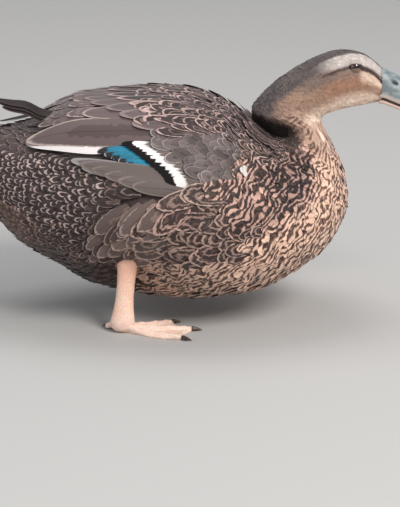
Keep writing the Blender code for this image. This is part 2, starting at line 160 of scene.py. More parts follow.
def along(table, t):
    """Catmull-Rom curve through a table's rows at parameter t, straight on below row 0."""
    t = np.asarray(t, float)
    top = len(table) - 1
    flat = np.clip(t.ravel(), 0, top - 1e-9)
    i = flat.astype(int)
    f = (flat - i)[:, None]
    a, b, c, d = (table[np.clip(i + k, 0, top)] for k in (-1, 0, 1, 2))
    out = 0.5 * (2 * b + (c - a) * f + (2 * a - 5 * b + 4 * c - d) * f ** 2
                 + (3 * b - a - 3 * c + d) * f ** 3)
    out = out + np.minimum(t.ravel(), 0)[:, None] * (table[1] - table[0])
    return out.reshape(t.shape + (table.shape[1],))


def step(x, low, high):
    """Smooth 0 to 1 as x goes from low to high."""
    f = np.clip((np.asarray(x, float) - low) / (high - low), 0, 1)
    return f * f * (3 - 2 * f)


def hill(x, low, high, far_high, far_low):
    """Smooth 0 to 1 from low to high, then back to 0 from far_high to far_low."""
    return step(x, low, high) * step(x, far_low, far_high)


def body_point(t, theta, lift=0.0):
    """Feathered outline: theta 0 on the back, 180 underneath, positive on her right side.

    Width goes as half * sin(theta) ** fullness, height as cos(theta) + drop * sin(theta) ** 2
    between back and underside. lift raises the back under the folded wings.
    """
    t, rad = np.broadcast_arrays(np.asarray(t, float), np.radians(np.asarray(theta, float)))
    dx, dz, vx, vz, w, k, pu, pl = np.moveaxis(along(BODY, t), -1, 0)
    dz = dz + lift * np.exp(-((t - LIFT_AT[0]) / LIFT_AT[1]) ** 2)
    up = np.cos(rad) + k * np.sin(rad) ** 2
    low_share = 0.5 - 0.5 * np.cos(rad)
    across = np.abs(np.sin(rad)) ** (pu * (1 - low_share) + pl * low_share)
    x = (dx + vx) / 2 + (dx - vx) / 2 * up
    z = (dz + vz) / 2 + (dz - vz) / 2 * up
    y = -np.maximum(w, 0.5) * across * np.sign(np.sin(rad))
    station = np.where(y < 0, GROIN_AT[0], GROIN_AT[1])
    angle = np.degrees(np.arccos(np.clip(np.cos(rad), -1, 1)))
    dent = GROIN_DEPTH * np.exp(-((t - station) / GROIN_REACH[0]) ** 2
                                - ((angle - GROIN_ANGLE) / GROIN_REACH[1]) ** 2)
    return np.stack([x, y - np.sign(y) * dent * GROIN_PUSH[0], z + dent * GROIN_PUSH[1]], -1)


def unit(vectors):
    """Vectors made 1 long."""
    return vectors / (np.linalg.norm(vectors, axis=-1, keepdims=True) + 1e-12)


def body_frame(t, theta, lift=0.0):
    """Point, slope along t, slope along theta and outward normal of the outline."""
    by_t = (body_point(t + 0.02, theta, lift) - body_point(t - 0.02, theta, lift)) / 0.04
    by_a = (body_point(t, theta + 0.4, lift) - body_point(t, theta - 0.4, lift)) / 0.8
    return body_point(t, theta, lift), by_t, by_a, unit(np.cross(by_a, by_t))


def coat_depth(t):
    """Depth of the feathers over the skin at station t."""
    return np.interp(t, COAT_AT, COAT_DEPTH)


def back_fall(t, theta):
    """Height by which the wings' feathers sink over the middle of the back."""
    return FALL_DEPTH * np.exp(-(theta / FALL_WIDE) ** 2) * hill(t, 5.4, 6.4, 8.6, 9.8)


def coat_point(t, theta, up, lift=0.0):
    """Point at height up over the feathered outline."""
    at, _, _, normal = body_frame(t, theta, lift)
    return at + normal * np.asarray(up)[..., None]


def place(points):
    """Millimetres in the bird's frame to metres in the row's."""
    return (np.asarray(points, float) + np.array([SHIFT, 0, 0])) / 1000.0


def tone(red, green, blue):
    """A colour given as 0 to 255 display values, as linear light."""
    c = np.array([red, green, blue], float) / 255.0
    return np.where(c <= 0.04045, c / 12.92, ((c + 0.055) / 1.055) ** 2.4)


def mix(a, b, share):
    """Colour a turned into b by share, row by row."""
    share = np.asarray(share)[..., None]
    return a * (1 - share) + b * share


def grid_quads(n, m, wrap=False):
    """Quads of an n by m grid of points, row after row; wrap closes each row on itself."""
    i, j = np.meshgrid(np.arange(n - 1), np.arange(m if wrap else m - 1), indexing="ij")
    k = (j + 1) % m
    return np.stack([i * m + j, i * m + k, (i + 1) * m + k, (i + 1) * m + j], -1).reshape(-1, 4)


def turned_out(points, quads, sample, out):
    """Quads, all turned round if the sample one faces away from out."""
    a, b, c = points[quads[sample][:3]]
    return quads if np.dot(np.cross(b - a, c - a), out) > 0 else quads[:, ::-1]


def new_piece(name, points, quads, materials, slot, uv_maps=(), colours=(), vectors=(),
              which=None, weld=False):
    """Smooth mesh piece from arrays, riding on the bird.

    points are in mm; uv_maps, colours and vectors hold (name, one row per point); which is
    each quad's material; weld merges the points that meet, at seams and poles.
    """
    mesh = bpy.data.meshes.new(name)
    mesh.vertices.add(len(points))
    mesh.vertices.foreach_set("co", place(points).astype(np.float32).ravel())
    mesh.loops.add(quads.size)
    mesh.loops.foreach_set("vertex_index", quads.astype(np.int32).ravel())
    mesh.polygons.add(len(quads))
    mesh.polygons.foreach_set("loop_start", np.arange(0, quads.size, 4, dtype=np.int32))
    mesh.polygons.foreach_set("use_smooth", np.ones(len(quads), bool))
    if which is not None:
        mesh.polygons.foreach_set("material_index", which.astype(np.int32))
    for label, uv in uv_maps:
        corners = uv[quads.ravel()].astype(np.float32).ravel()
        mesh.uv_layers.new(name=label).data.foreach_set("uv", corners)
    for label, rows in colours:
        rgba = np.concatenate([rows, np.ones((len(rows), 1))], 1).astype(np.float32)
        mesh.attributes.new(label, "FLOAT_COLOR", "POINT").data.foreach_set("color", rgba.ravel())
    for label, rows in vectors:
        layer = mesh.attributes.new(label, "FLOAT_VECTOR", "POINT")
        layer.data.foreach_set("vector", rows.astype(np.float32).ravel())
    mesh.update(calc_edges=True)
    mesh.validate()
    if weld:
        work = bmesh.new()
        work.from_mesh(mesh)
        bmesh.ops.remove_doubles(work, verts=work.verts, dist=1e-6)
        work.to_mesh(mesh)
        work.free()
    for material in materials:
        mesh.materials.append(material)
    obj = bpy.data.objects.new(name, mesh)
    bpy.context.collection.objects.link(obj)
    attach(obj, "root")
    return obj


class Wire:
    """A node's output; sums of wires and numbers add Math nodes to its tree."""

    def __init__(self, socket):
        self.socket = socket
        self.tree = socket.id_data

    def to(self, operation, *values):
        """Math node on this wire and further wires or numbers."""
        inputs = dict(enumerate((self,) + values))
        return Wire(add_node(self.tree, "Math", inputs, operation=operation).outputs[0])

    def scaled(self, by, plus):
        """This wire times by, plus something."""
        return self.to("MULTIPLY_ADD", by, plus)

    def __add__(self, value):
        return self.to("ADD", value)

    def __sub__(self, value):
        return self.to("SUBTRACT", value)

    def __rsub__(self, value):
        return self.scaled(-1.0, value)

    def __mul__(self, value):
        return self.to("MULTIPLY", value)

    def __abs__(self):
        return self.to("ABSOLUTE")


def feed(target, source):
    """Link a wire to an input socket, or set the input to a number, vector or colour."""
    if isinstance(source, Wire):
        target.id_data.links.new(source.socket, target)
    else:
        target.default_value = tuple(source) + (1.0,) if target.type == "RGBA" else source


def add_node(tree, kind, inputs=(), **settings):
    """Shader node with its settings, and its inputs fed by name or number."""
    node = tree.nodes.new("ShaderNode" + kind)
    for name, value in settings.items():
        setattr(node, name, value)
    for name, source in dict(inputs).items():
        feed(node.inputs[name], source)
    return node


def object_at(tree):
    """Wire of the Object coordinates."""
    return Wire(add_node(tree, "TexCoord").outputs["Object"])


def axes(vector):
    """The three numbers of a vector wire."""
    return [Wire(socket) for socket in add_node(vector.tree, "SeparateXYZ", {0: vector}).outputs]


def attribute(tree, name, output="Color"):
    """Wire of a named attribute of the mesh."""
    return Wire(add_node(tree, "Attribute", attribute_name=name).outputs[output])


def ramp(value, low, high):
    """Smooth 0 to 1 as a wire goes from low to high."""
    inputs = {"Value": value, "From Min": low, "From Max": high}
    node = add_node(value.tree, "MapRange", inputs, interpolation_type="SMOOTHSTEP")
    return Wire(node.outputs["Result"])


def blend(share, a, b):
    """Colour a turned into b by a wire."""
    return Wire(add_node(share.tree, "Mix", {0: share, 6: a, 7: b}, data_type="RGBA").outputs[2])


def noise(tree, scale, detail=2.0, squash=None):
    """Noise on Object coordinates, squashed per axis if asked."""
    at = object_at(tree)
    if squash is not None:
        at = Wire(add_node(tree, "Mapping", {"Vector": at, "Scale": squash}).outputs["Vector"])
    inputs = {"Vector": at, "Scale": scale, "Detail": detail}
    return Wire(add_node(tree, "TexNoise", inputs).outputs["Fac"])


def new_group(name, inputs):
    """Shader group with named inputs and the outputs Color and Height, with its two ends."""
    group = bpy.data.node_groups.new(name, "ShaderNodeTree")
    for label, kind in inputs:
        group.interface.new_socket(label, in_out="INPUT", socket_type="NodeSocket" + kind)
    for label, kind in (("Color", "Color"), ("Height", "Float")):
        group.interface.new_socket(label, in_out="OUTPUT", socket_type="NodeSocket" + kind)
    given = group.nodes.new("NodeGroupInput")
    result = group.nodes.new("NodeGroupOutput")
    return group, {label: Wire(given.outputs[label]) for label, _ in inputs}, result


def paint(shader, colour, height=None, strength=0.0, distance=0.0):
    """Colour of a shader, and bump from a height wire, its distance in metres."""
    feed(shader.inputs["Base Color"], colour)
    if height is not None:
        inputs = {"Strength": strength, "Distance": distance, "Height": height}
        feed(shader.inputs["Normal"], Wire(add_node(height.tree, "Bump", inputs).outputs["Normal"]))


FLANK_EDGE = ((69, 77, 94, 109.5), (7.55, 7.0, 6.75, 6.5))   # angle, station of its rear edge
BREAST_EDGE = ((80, 98, 110, 120, 180), (10.8, 10.4, 9.3, 7.4, 7.0))
BROW_TOP = ((20.9, 21.3, 21.7, 22.2, 22.8, 23.2, 24.0), (36, 31, 29, 24, 12, 7, 9))
BROW_LOW = ((20.9, 21.3, 21.7, 22.3, 22.9, 23.4, 24.0), (47, 54, 56, 53, 51, 48, 48))
EYE_LINE = ((21.0, 21.5, 22.0, 22.5, 22.9, 23.5, 23.9), (60, 61, 60, 57, 57, 58, 65))
EYE_LINE_HALF = ((21.0, 22.2, 22.9, 23.9), (2.0, 3.0, 6.2, 5.0))
FINE = (0.10, 0.0, -0.2)             # small feathers without a mark
STREAK = (0.10, 0.0, 0.16)           # small feathers with a dark shaft streak
WAVY = 0.92                          # share of the wavy lines on the breast


def markings(t, theta):
    """Colours and pattern of the plumage, the same for skin and feathers.

    Gives ground, edge and mark colours, a vector of edge width, mark radius and mark half
    width in shares of the feather, and the share of the wavy breast pattern. A mark of
    radius 0 is a streak along the shaft; one of negative radius is a dash across it.
    """
    t = np.asarray(t, float)
    a = np.abs(np.asarray(theta, float))
    now = np.zeros((len(t), 13))

    def lay(share, ground, edge, mark, pattern=FINE, wavy=0.0):
        nonlocal now
        row = np.concatenate([tone(*ground), tone(*edge), tone(*mark), pattern, (wavy,)])
        now = mix(now, row, share)

    # trunk, from behind forwards: flank, rump, tail coverts, belly, undertail, flank's end and
    # the painted shadow behind it
    lay(np.ones(len(t)), (50, 35, 33), (202, 170, 155), (172, 141, 128), (0.09, 0.52, 0.07), 0.15)
    edge_at = np.interp(a, *FLANK_EDGE)
    lay(step(t, edge_at - 0.1, edge_at - 0.5) * step(a, 122, 104),
        (48, 36, 35), (70, 56, 54), (190, 169, 162), (0.04, -0.60, 0.09))
    lay(step(t, 6.2, 5.2) * step(a, 48, 34),
        (70, 56, 54), (150, 130, 124), (88, 72, 69), (0.06, 0.5, 0.05))
    lay(step(t, 3.6, 2.4) * step(a, 90, 60),
        (64, 51, 48), (132, 111, 101), (100, 82, 75), (0.08, 0.5, 0.08))
    lay(step(t, 7.8, 6.6) * step(a, 112, 132),
        (50, 38, 36), (92, 74, 67), (104, 84, 76), (0.07, -0.6, 0.10))
    lay(step(t, 5.4, 4.2) * hill(a, 90, 104, 130, 150),
        (78, 59, 53), (126, 101, 88), (150, 124, 110), (0.08, -0.60, 0.12))
    lay(0.8 * hill(t, edge_at - 0.2, edge_at + 0.2, edge_at + 0.5, edge_at + 1.0)
        * hill(a, 66, 72, 108, 114),
        (124, 106, 101), (178, 156, 147), (96, 79, 75), (0.06, 0.0, 0.14))
    # a near-black band just behind the rear flank feathers: painted shadow of their raised edge on
    # the rump
    lay(0.6 * hill(t, edge_at - 0.8, edge_at - 0.4, edge_at - 0.1, edge_at + 0.15)
        * hill(a, 64, 70, 108, 116),
        (34, 25, 24), (46, 36, 34), (70, 56, 52), (0.05, -0.6, 0.06))
    # breast: fawn ground with dark wavy lines, darkest beside the shoulder, then the mantle
    front = np.interp(a, *BREAST_EDGE)
    breast = (t > front) * step(a, 40, 60)
    lay(breast, (240, 199, 176), (240, 201, 179), (66, 43, 37), (0.08, 0.50, 0.175), WAVY)
    lay(0.6 * breast * step(t, 10.6, 8.4),
        (176, 146, 128), (190, 160, 142), (66, 47, 42), (0.08, 0.50, 0.22), WAVY)
    beside = np.where(t > front, step(a, 96, 82), a < 87)
    lay(beside * (t > 9.7) * step(t, 15.4, 14.8) * step(a, 26, 32),
        (204, 164, 148), (208, 168, 151), (42, 27, 25), (0.09, 0.50, 0.27), WAVY)
    lay(hill(t, 11.2, 12.2, 14.9, 15.5) * hill(a, 36, 52, 75, 86),
        (176, 138, 126), (186, 148, 134), (28, 17, 17), (0.09, 0.50, 0.35), 0.95)
    lay(step(t, 11.4, 12.8) * hill(a, 82, 96, 120, 150),
        (242, 202, 178), (242, 202, 178), (104, 71, 59), (0.08, 0.50, 0.175), WAVY)
    lay(hill(t, 10.2, 11.2, 15.8, 16.8) * (a < 43),
        (36, 24, 24), (182, 153, 144), (142, 114, 106), (0.11, 0.45, 0.07))
    # neck: its sides, its front, its dark back with painted shade of the hollow under the nape,
    # and the back of the head above that
    lay(step(t, 15.0, 16.2),
        (160, 130, 113), (172, 142, 125), (112, 88, 76), (0.10, 0.0, 0.22), 0.3)
    lay(step(t, 14.6, 16.0) * step(a, 70, 100),
        (190, 154, 135), (198, 163, 144), (88, 60, 50), (0.10, 0.5, 0.18), 0.85)
    # dark brown hindneck, made darker still as painted shade of the hollow under the overhanging
    # nape
    lay(0.95 * hill(t, 14.6, 15.3, 17.3, 18.0) * step(a, 80, 60),
        (50, 38, 35), (92, 74, 68), (34, 25, 23), (0.10, 0.0, 0.25))
    lay(step(t, 17.2, 18.0) * step(a, 72, 54),
        (75, 66, 65), (106, 96, 94), (56, 47, 46), (0.10, 0.0, 0.12))
    # head: cheek, its warm and its grey parts, below the eye, lores, throat, crown
    lay(step(t, 18.2, 19.6) * step(a, 46, 64), (163, 130, 110), (175, 142, 122), (142, 110, 92))
    lay(0.85 * hill(t, 20.3, 21.1, 22.7, 23.5) * hill(a, 71, 81, 99, 113),
        (156, 114, 90), (168, 127, 103), (132, 94, 74))
    lay(0.75 * hill(t, 19.6, 20.7, 21.2, 22.0) * hill(a, 46, 54, 70, 84),
        (104, 89, 82), (124, 109, 101), (80, 66, 61))
    lay(0.7 * hill(t, 21.0, 21.6, 22.6, 23.0) * hill(a, 61, 65, 72, 84),
        (122, 99, 89), (136, 113, 102), (98, 79, 71))
    lay(0.9 * step(t, 22.5, 22.9) * hill(a, 61, 68, 80, 94),
        (226, 196, 176), (230, 202, 184), (208, 174, 152))
    lay(step(t, 15.9, 17.3) * step(a, 100, 132), (250, 220, 199), (255, 232, 214), (240, 206, 184))
    lay(step(t, 19.2, 20.4) * step(a, 48, 38), (88, 77, 74), (110, 98, 94), (60, 50, 47), STREAK)
    # brow, crown stripe, eye line and the corner of the mouth
    top, low = np.interp(t, *BROW_TOP), np.interp(t, *BROW_LOW)
    lay(step(t, 20.9, 21.9) * hill(a, top - 3.5, top + 3.5, low - 3, low + 4),
        (198, 187, 180), (206, 195, 188), (184, 170, 162))
    lay(0.8 * hill(t, 20.4, 21.0, 22.9, 24.3) * step(a, top + 1, top - 3),
        (76, 66, 62), (92, 81, 76), (50, 42, 39), STREAK)
    off, half = np.abs(a - np.interp(t, *EYE_LINE)), np.interp(t, *EYE_LINE_HALF)
    lay(step(t, 20.8, 21.4) * step(off, half + 1.6, half - 1.2),
        (58, 40, 36), (72, 52, 46), (42, 28, 25))
    lay(0.7 * step(t, 23.3, 23.8) * step(np.abs(a - 112), 9, 4),
        (106, 76, 62), (118, 87, 72), (86, 61, 50))
    return now[:, :3], now[:, 3:6], now[:, 6:9], now[:, 9:12], now[:, 12:] * np.ones(3)


def close_tube(rings):
    """Points and quads over rings, the first and last ring drawn into their middles."""
    n, m = rings.shape[:2]
    ends = [np.broadcast_to(rings[k].mean(0), (1, m, 3)) for k in (0, -1)]
    points = np.concatenate([ends[0], rings, ends[1]])
    quads = grid_quads(n + 2, m, True)
    flat, sample = points.reshape(-1, 3), m * (n // 2)
    out = flat[quads[sample]].mean(0) - points[n // 2 + 1].mean(0)
    return flat, turned_out(flat, quads, sample, out)


def round_angles(count):
    """Evenly spaced angles once round, in radians."""
    return np.radians(np.linspace(0, 360, count + 1)[:-1])


SKIN_MARKED = 0.3                    # share of the marks' colour mixed into the ground's
SKIN_GAP_SHADE = 0.55                     # brightness beside the feathers': painted shade of the gaps between them


def skin_bag():
    """Points, quads and point colours of the body bag.

    The outline is drawn in by the depth of the coat and raised under the folded wings. Its
    colour is darker than the feathers': painted shade of the gaps between them, where alone it
    shows.
    """
    t = np.concatenate([np.linspace(0.06, 12, 150), np.linspace(12.08, LAST, 190)])
    tt, aa = np.meshgrid(t, np.linspace(-180, 180, 121)[:-1], indexing="ij")
    low = np.interp(tt, WING_AT, WING_LOW)
    lift = BACK_LIFT * step(np.abs(aa), low + 2, low - 12) * step(tt, 4.0, 5.2)
    points, quads = close_tube(coat_point(tt, aa, -coat_depth(tt) - back_fall(tt, aa), lift))
    tt, aa = (np.concatenate([k[:1], k, k[-1:]]).ravel() for k in (tt, aa))
    ground, _, mark, _, _ = markings(tt, aa)
    # the skin's colour is darkened here as painted shade of the gaps between the feathers
    return points, quads, mix(ground, mark, np.full(tt.size, SKIN_MARKED)) * SKIN_GAP_SHADE


LEG_Y = 56.0
FEET = (("right", 1.0, -43.0), ("left", -1.0, -22.0))   # side, its sign, x of the ankle
TOES = (("inner", 24.0, 44.0), ("middle", 1.0, 56.0), ("outer", -23.0, 53.0))
TOE_RADIUS = (4.4, 2.9)              # at the ankle and at the tip
WEB_THICK = 1.7
WEB_AT = (-31, -24, -12.5, -1, 11, 23, 30)
WEB_REACH = (28, 44, 45, 56, 49, 53, 30)
KNUCKLES = (0.42, 0.68, 0.88)
SHANK_Z = (1.5, 4, 8, 12, 18, 28, 40, 50, 57, 64, 76, 90)
SHANK_HALF = (5.6, 7.6, 8.3, 7.8, 6.8, 6.0, 6.0, 6.6, 7.6, 8.8, 11.0, 14.0)
HIND_TOE = 9.0
HIND_AT = 148.0                      # its direction, 32 degrees inward from straight back
UPWARD = np.array([0.0, 0.0, 1.0])


def web_foot(side, x0):
    """Webbed foot as a fan about the ankle: toes are ridges in the height of the web.

    Height = web, or 1.3 * toe radius * exp(-(distance off the toe / 0.85 radius) ** 2),
    swollen at the knuckles, with shallow folds spreading between the toes.
    """
    n, m = 30, 74
    r = np.linspace(0.0, 1, n)[:, None] ** 0.85
    angle = np.linspace(31, -30, m)[None, :]
    radius = np.interp(-angle, WEB_AT, WEB_REACH) * r
    turn = np.radians(angle) * side
    ridge = np.zeros((n, m))
    size = TOE_RADIUS[0] + (TOE_RADIUS[1] - TOE_RADIUS[0]) * r
    for _, at, length in TOES:
        arc = radius * np.radians(angle - at)
        swell = 1 + sum(0.16 * np.exp(-((radius / length - k) / 0.045) ** 2) for k in KNUCKLES)
        ridge = np.maximum(ridge, 1.30 * size * swell * np.exp(-(arc / (size * 0.85)) ** 2))
    folds = (0.22 * np.sin(angle * 1.3) * step(r, 0.25, 0.7)
             + 0.12 * np.sin(radius * 1.1 + angle * 0.3))
    top = np.maximum(WEB_THICK + folds * step(ridge, 2.4, 0.8), ridge)
    top = top + 5.0 * np.exp(-(radius / 9.0) ** 2)
    upper = np.stack([x0 + radius * np.cos(turn), -side * LEG_Y + radius * np.sin(turn), top], -1)
    upper = upper.reshape(-1, 3)
    grid = grid_quads(n, m)
    rim = np.concatenate([np.arange(m - 1), np.arange(m - 1, n * m - 1, m),
                          np.arange(n * m - 1, (n - 1) * m, -1), np.arange((n - 1) * m, 0, -m)])
    after = np.roll(rim, -1)
    wall = np.stack([rim, after, after + n * m, rim + n * m], -1)
    if side > 0:
        grid = grid[:, ::-1]
    else:
        wall = wall[:, ::-1]
    return (np.concatenate([upper, upper * np.array([1, 1, 0])]),
            np.concatenate([grid[:, ::-1], grid + n * m, wall[:, ::-1]]))


def leg_rings(side, x0):
    """Shank from sole to thigh: an oval tube with a swollen ankle and a bent hock."""
    z = np.linspace(SHANK_Z[0], SHANK_Z[-1], 84)[:, None]
    spin = round_angles(32)[None, :]
    half = np.interp(z, SHANK_Z, SHANK_HALF)
    shank = np.clip((z - 9) / 46, 0, 1)
    thigh = np.clip((z - 55) / 34, 0, 1)
    scute = 0.18 * np.abs(np.sin(z * 1.05)) * step(np.cos(spin), 0.2, 0.8) * step(z, 70, 56)
    x = x0 + 2.6 + 4.4 * shank + 19.0 * thigh + half * 1.12 * np.cos(spin) + scute
    y = -side * LEG_Y + side * (1.0 * shank + 13.0 * thigh) + half * 0.84 * np.sin(spin)
    return np.stack([x, y, z + 0 * spin], -1)


def floor_ways(degrees, side):
    """Unit vectors along and across a direction on the floor, mirrored on her left."""
    turn = math.radians(degrees) * side
    return (np.array([math.cos(turn), math.sin(turn), 0.0]),
            np.array([-math.sin(turn), math.cos(turn), 0.0]))


def hind_root(side, x0, z):
    """Where the hind toe leaves the ankle, at height z."""
    return np.array([x0 - 2.0, -side * (LEG_Y - 2.0), z])


def hind_rings(side, x0):
    """Short raised hind toe: a tapering tube back and inward from the ankle."""
    a = np.linspace(0, 1, 14)[:, None, None]
    spin = round_angles(18)[None, :, None]
    way, flat = floor_ways(HIND_AT, side)
    half = 2.9 - 0.8 * a + 0.3 * np.exp(-((a - 0.75) / 0.2) ** 2)
    middle = hind_root(side, x0, 6.2) + a * (HIND_TOE * way - 3.4 * UPWARD)
    return middle + flat * half * np.cos(spin) + UPWARD * half * np.sin(spin)


def scaly_group():
    """Reticulated skin of the feet: rounded plates from Voronoi cells, darker between."""
    group, given, result = new_group("scaly_skin", (
        ("Plates per Metre", "Float"), ("Skin", "Color"), ("Cracks", "Color")))
    inputs = {"Vector": object_at(group), "Scale": given["Plates per Metre"]}
    cells = add_node(group, "TexVoronoi", inputs, feature="DISTANCE_TO_EDGE")
    plate = ramp(Wire(cells.outputs["Distance"]), 0.02, 0.22)
    blotch = ramp(noise(group, 160.0, 3.0), 0.35, 0.7)
    colour = blend(blotch * 0.25, given["Skin"], given["Cracks"])
    feed(result.inputs["Color"], blend((1.0 - plate) * 0.55, colour, given["Cracks"]))
    feed(result.inputs["Height"], plate)
    return group


skin_paint, tree, shader = new_material("skin_down", Roughness=0.9)
paint(shader, attribute(tree, "ground"), noise(tree, 900.0, 4.0), 0.6, 0.0006)

leg_paint, tree, shader = new_material(
    "leg_skin", Roughness=0.48, Subsurface_Weight=0.15, Subsurface_Radius=(0.004, 0.0015, 0.0008))
height = axes(object_at(tree))[2]
leg_tone = blend(ramp(height, 0.004, 0.022), tone(248, 230, 216), tone(255, 226, 206))
leg_tone = blend(ramp(height, 0.026, 0.052), leg_tone, tone(255, 205, 181))
plates = add_node(tree, "Group", node_tree=scaly_group(), inputs={
    "Plates per Metre": 620.0, "Skin": leg_tone, "Cracks": tone(240, 180, 152)})
paint(shader, Wire(plates.outputs["Color"]), Wire(plates.outputs["Height"]), 0.45, 0.0004)

points, quads, colour = skin_bag()
parts = [(points, quads)]
for _, side, x0 in FEET:
    tubes = (close_tube(rings(side, x0)) for rings in (leg_rings, hind_rings))
    parts += [web_foot(side, x0), *tubes]
start = np.cumsum([0] + [len(p) for p, _ in parts])
all_points = np.concatenate([p for p, _ in parts])
all_quads = np.concatenate([q + s for (_, q), s in zip(parts, start)])
legs = np.tile(tone(230, 160, 120), (len(all_points) - len(points), 1))
skin = new_piece("skin", all_points, all_quads, (skin_paint, leg_paint), "feathers",
                 colours=[("ground", np.concatenate([colour, legs]))],
                 which=np.arange(len(all_quads)) >= len(quads), weld=True)
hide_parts("trunk", "neck", "head", "tail", "wing_right", "wing_left", "thigh_right",
            "thigh_left", "shank_right", "shank_left", "foot_right", "foot_left")

# Body feathers: every one a thin cambered vane rooted in the skin and lying backwards over
# the next, in staggered rows. They are smallest on the face and longest on back and flank.
PITCH_AT = (0, 2, 4, 6, 9, 11, 13, 15, 17, 19, 21, 22.5, 24)
PITCH = (5.5, 5.8, 6.0, 7.0, 7.0, 5.8, 4.8, 4.0, 3.2, 2.7, 2.2, 1.9, 1.7)
WAVY_WAY = (0.70, 0.25, -0.67)       # the way across the wavy lines
WAVY_SPACING = 0.0044                # metres from one wavy line to the next
LINE_SOFT = 0.26                     # half width of their edges, in heights of the wave
BARB_TURNS = 170.0                   # waves of the barbs along a vane, in radians
CELL_FILLED = 0.84                   # share of its bake cell that a vane covers
SMALL_PATCH = 0.003                  # bake patch of a small plain vane
TIP_STOP = 84.0                      # degrees of the tip's ellipse that are drawn
ROOT_SHAKE = 0.14                    # share of a pitch
SHADE_LIMITS = (0.45, 1.8)
TINT_SPREAD = 0.010
PATTERN_SPREAD = 0.12
FADED_MOST = 0.35                    # marks fade towards the ground by up to this share


def vane_group():
    """Feather pattern on the vane's own map: pale rim, curved inner mark, shaft and barbs.

    With b across the vane from -1 to 1 and a past its widest place from 0 to 1, the ring
    value is sqrt(a * a + b * b), 1 on the rim. The rim is the ring above 1 - edge width;
    the mark is where a ring leaning to one side is within its half width of its radius.
    Wavy lines run on from feather to feather: the sine of a slanting distance over their
    spacing, bent by slow noise and broken up by stretched fine noise.
    Barbs are fine slanting lines on both sides of the shaft.
    """
    group, given, result = new_group("laced_vane", (
        ("Vane", "Vector"), ("Ground", "Color"), ("Edge", "Color"), ("Mark", "Color"),
        ("Pattern", "Vector"), ("Wavy", "Float")))
    ground, mark, wavy = given["Ground"], given["Mark"], given["Wavy"]
    across, up_vane, _ = axes(given["Vane"])
    edge_wide, mark_at, mark_half = axes(given["Pattern"])
    b = across.scaled(2.0, -1.0)
    a = up_vane.scaled(2.0, -1.0).to("MAXIMUM", 0.0)
    ringed = abs(mark_at).to("GREATER_THAN", 0.05)
    wobble = noise(group, 330.0).scaled(0.44, -0.22) * ringed.scaled(0.8, 0.2)
    ring = (a * a + b * b).to("SQRT") + wobble
    rim_from = 0.96 - edge_wide
    rim = ramp(ring, rim_from - 0.05, rim_from + 0.05)
    leant = b + noise(group, 130.0).scaled(0.8, -0.4)
    mark_ring = wobble.scaled(1.2, (a * a + leant * leant).to("SQRT"))
    band = ramp(abs(mark_ring - abs(mark_at)), mark_half + 0.06, mark_half - 0.04)
    whole = 1.0 - mark_at.to("LESS_THAN", 0.0)
    band = band * ramp(abs(b), 0.72, 0.45).to("MAXIMUM", whole)
    slanting = add_node(group, "VectorMath", {0: object_at(group), 1: WAVY_WAY},
                        operation="DOT_PRODUCT")
    bent = noise(group, 80.0, 1.0).scaled(24.0, -12.0)
    phase = Wire(slanting.outputs["Value"]).scaled(2 * math.pi / WAVY_SPACING, bent)
    broken = noise(group, 270.0, 1.0, (1.0, 1.0, 0.75)).scaled(3.0, -1.5)
    dark_from = mark_half.scaled(-2.6, 0.56)
    lines = ramp(phase.to("SINE").scaled(0.56, broken), dark_from - LINE_SOFT,
                 dark_from + LINE_SOFT)
    shaft = ramp(abs(b), 0.08, 0.015)
    barb = ((up_vane - abs(b) * 0.22) * BARB_TURNS).to("SINE")
    colour = blend(rim, blend(band, ground, mark), given["Edge"])
    colour = blend(wavy, colour, blend(lines, ground, mark))
    colour = blend(shaft * wavy.scaled(-0.25, 0.30), colour, tone(40, 30, 26))
    colour = blend(barb.scaled(0.05, 0.06), colour, tone(36, 26, 23))
    feed(result.inputs["Color"], colour)
    feed(result.inputs["Height"], barb.scaled(0.25, shaft))
    return group


laced_vane = vane_group()


def feather_material(name, rough, sheen, gloss=0.35, bars=(), web=None):
    """Feather paint: the laced vane group, then bars across the tip or a pale outer web.

    bars holds (place along the vane, softness, colour) steps towards the tip; web holds the
    place across the vane where the outer web starts, and its near and far colours.
    """
    material, tree, shader = new_material(
        name, Roughness=rough, Sheen_Weight=sheen, Sheen_Roughness=0.5, Specular_IOR_Level=gloss)
    vane = Wire(add_node(tree, "UVMap", uv_map="vane").outputs["UV"])
    pattern = add_node(tree, "Group", node_tree=laced_vane, inputs={
        "Vane": vane, "Ground": attribute(tree, "ground"), "Edge": attribute(tree, "edge"),
        "Mark": attribute(tree, "mark"), "Pattern": attribute(tree, "pattern", "Vector"),
        "Wavy": attribute(tree, "wavy", "Fac")})
    colour = Wire(pattern.outputs["Color"])
    across, up_vane, _ = axes(vane)
    ragged = noise(tree, 700.0).scaled(0.10, -0.05)
    b = across.scaled(2.0, -1.0)
    bowed = up_vane + ragged + b * b * 0.07
    for at, soft, tint in bars:
        colour = blend(ramp(bowed, at - soft, at + soft), colour, tint)
    if web is not None:
        start, near, far = web
        outer = ramp(across + ragged, start - 0.03, start + 0.03) * ramp(up_vane, 1.0, 0.94)
        colour = blend(outer, colour, blend(ramp(up_vane, 0.33, 0.41), near, far))
    paint(shader, colour, Wire(pattern.outputs["Height"]), 0.35, 0.0003)
    return material


def solve_way(by_t, by_a, way):
    """Steps in t and theta that move one unit along the surface vector way."""
    tt, ta, aa = (np.sum(p * q, -1) for p, q in ((by_t, by_t), (by_t, by_a), (by_a, by_a)))
    wt, wa = np.sum(way * by_t, -1), np.sum(way * by_a, -1)
    det = tt * aa - ta * ta + 1e-9
    return np.stack([(wt * aa - wa * ta) / det, (wa * tt - wt * ta) / det], -1)


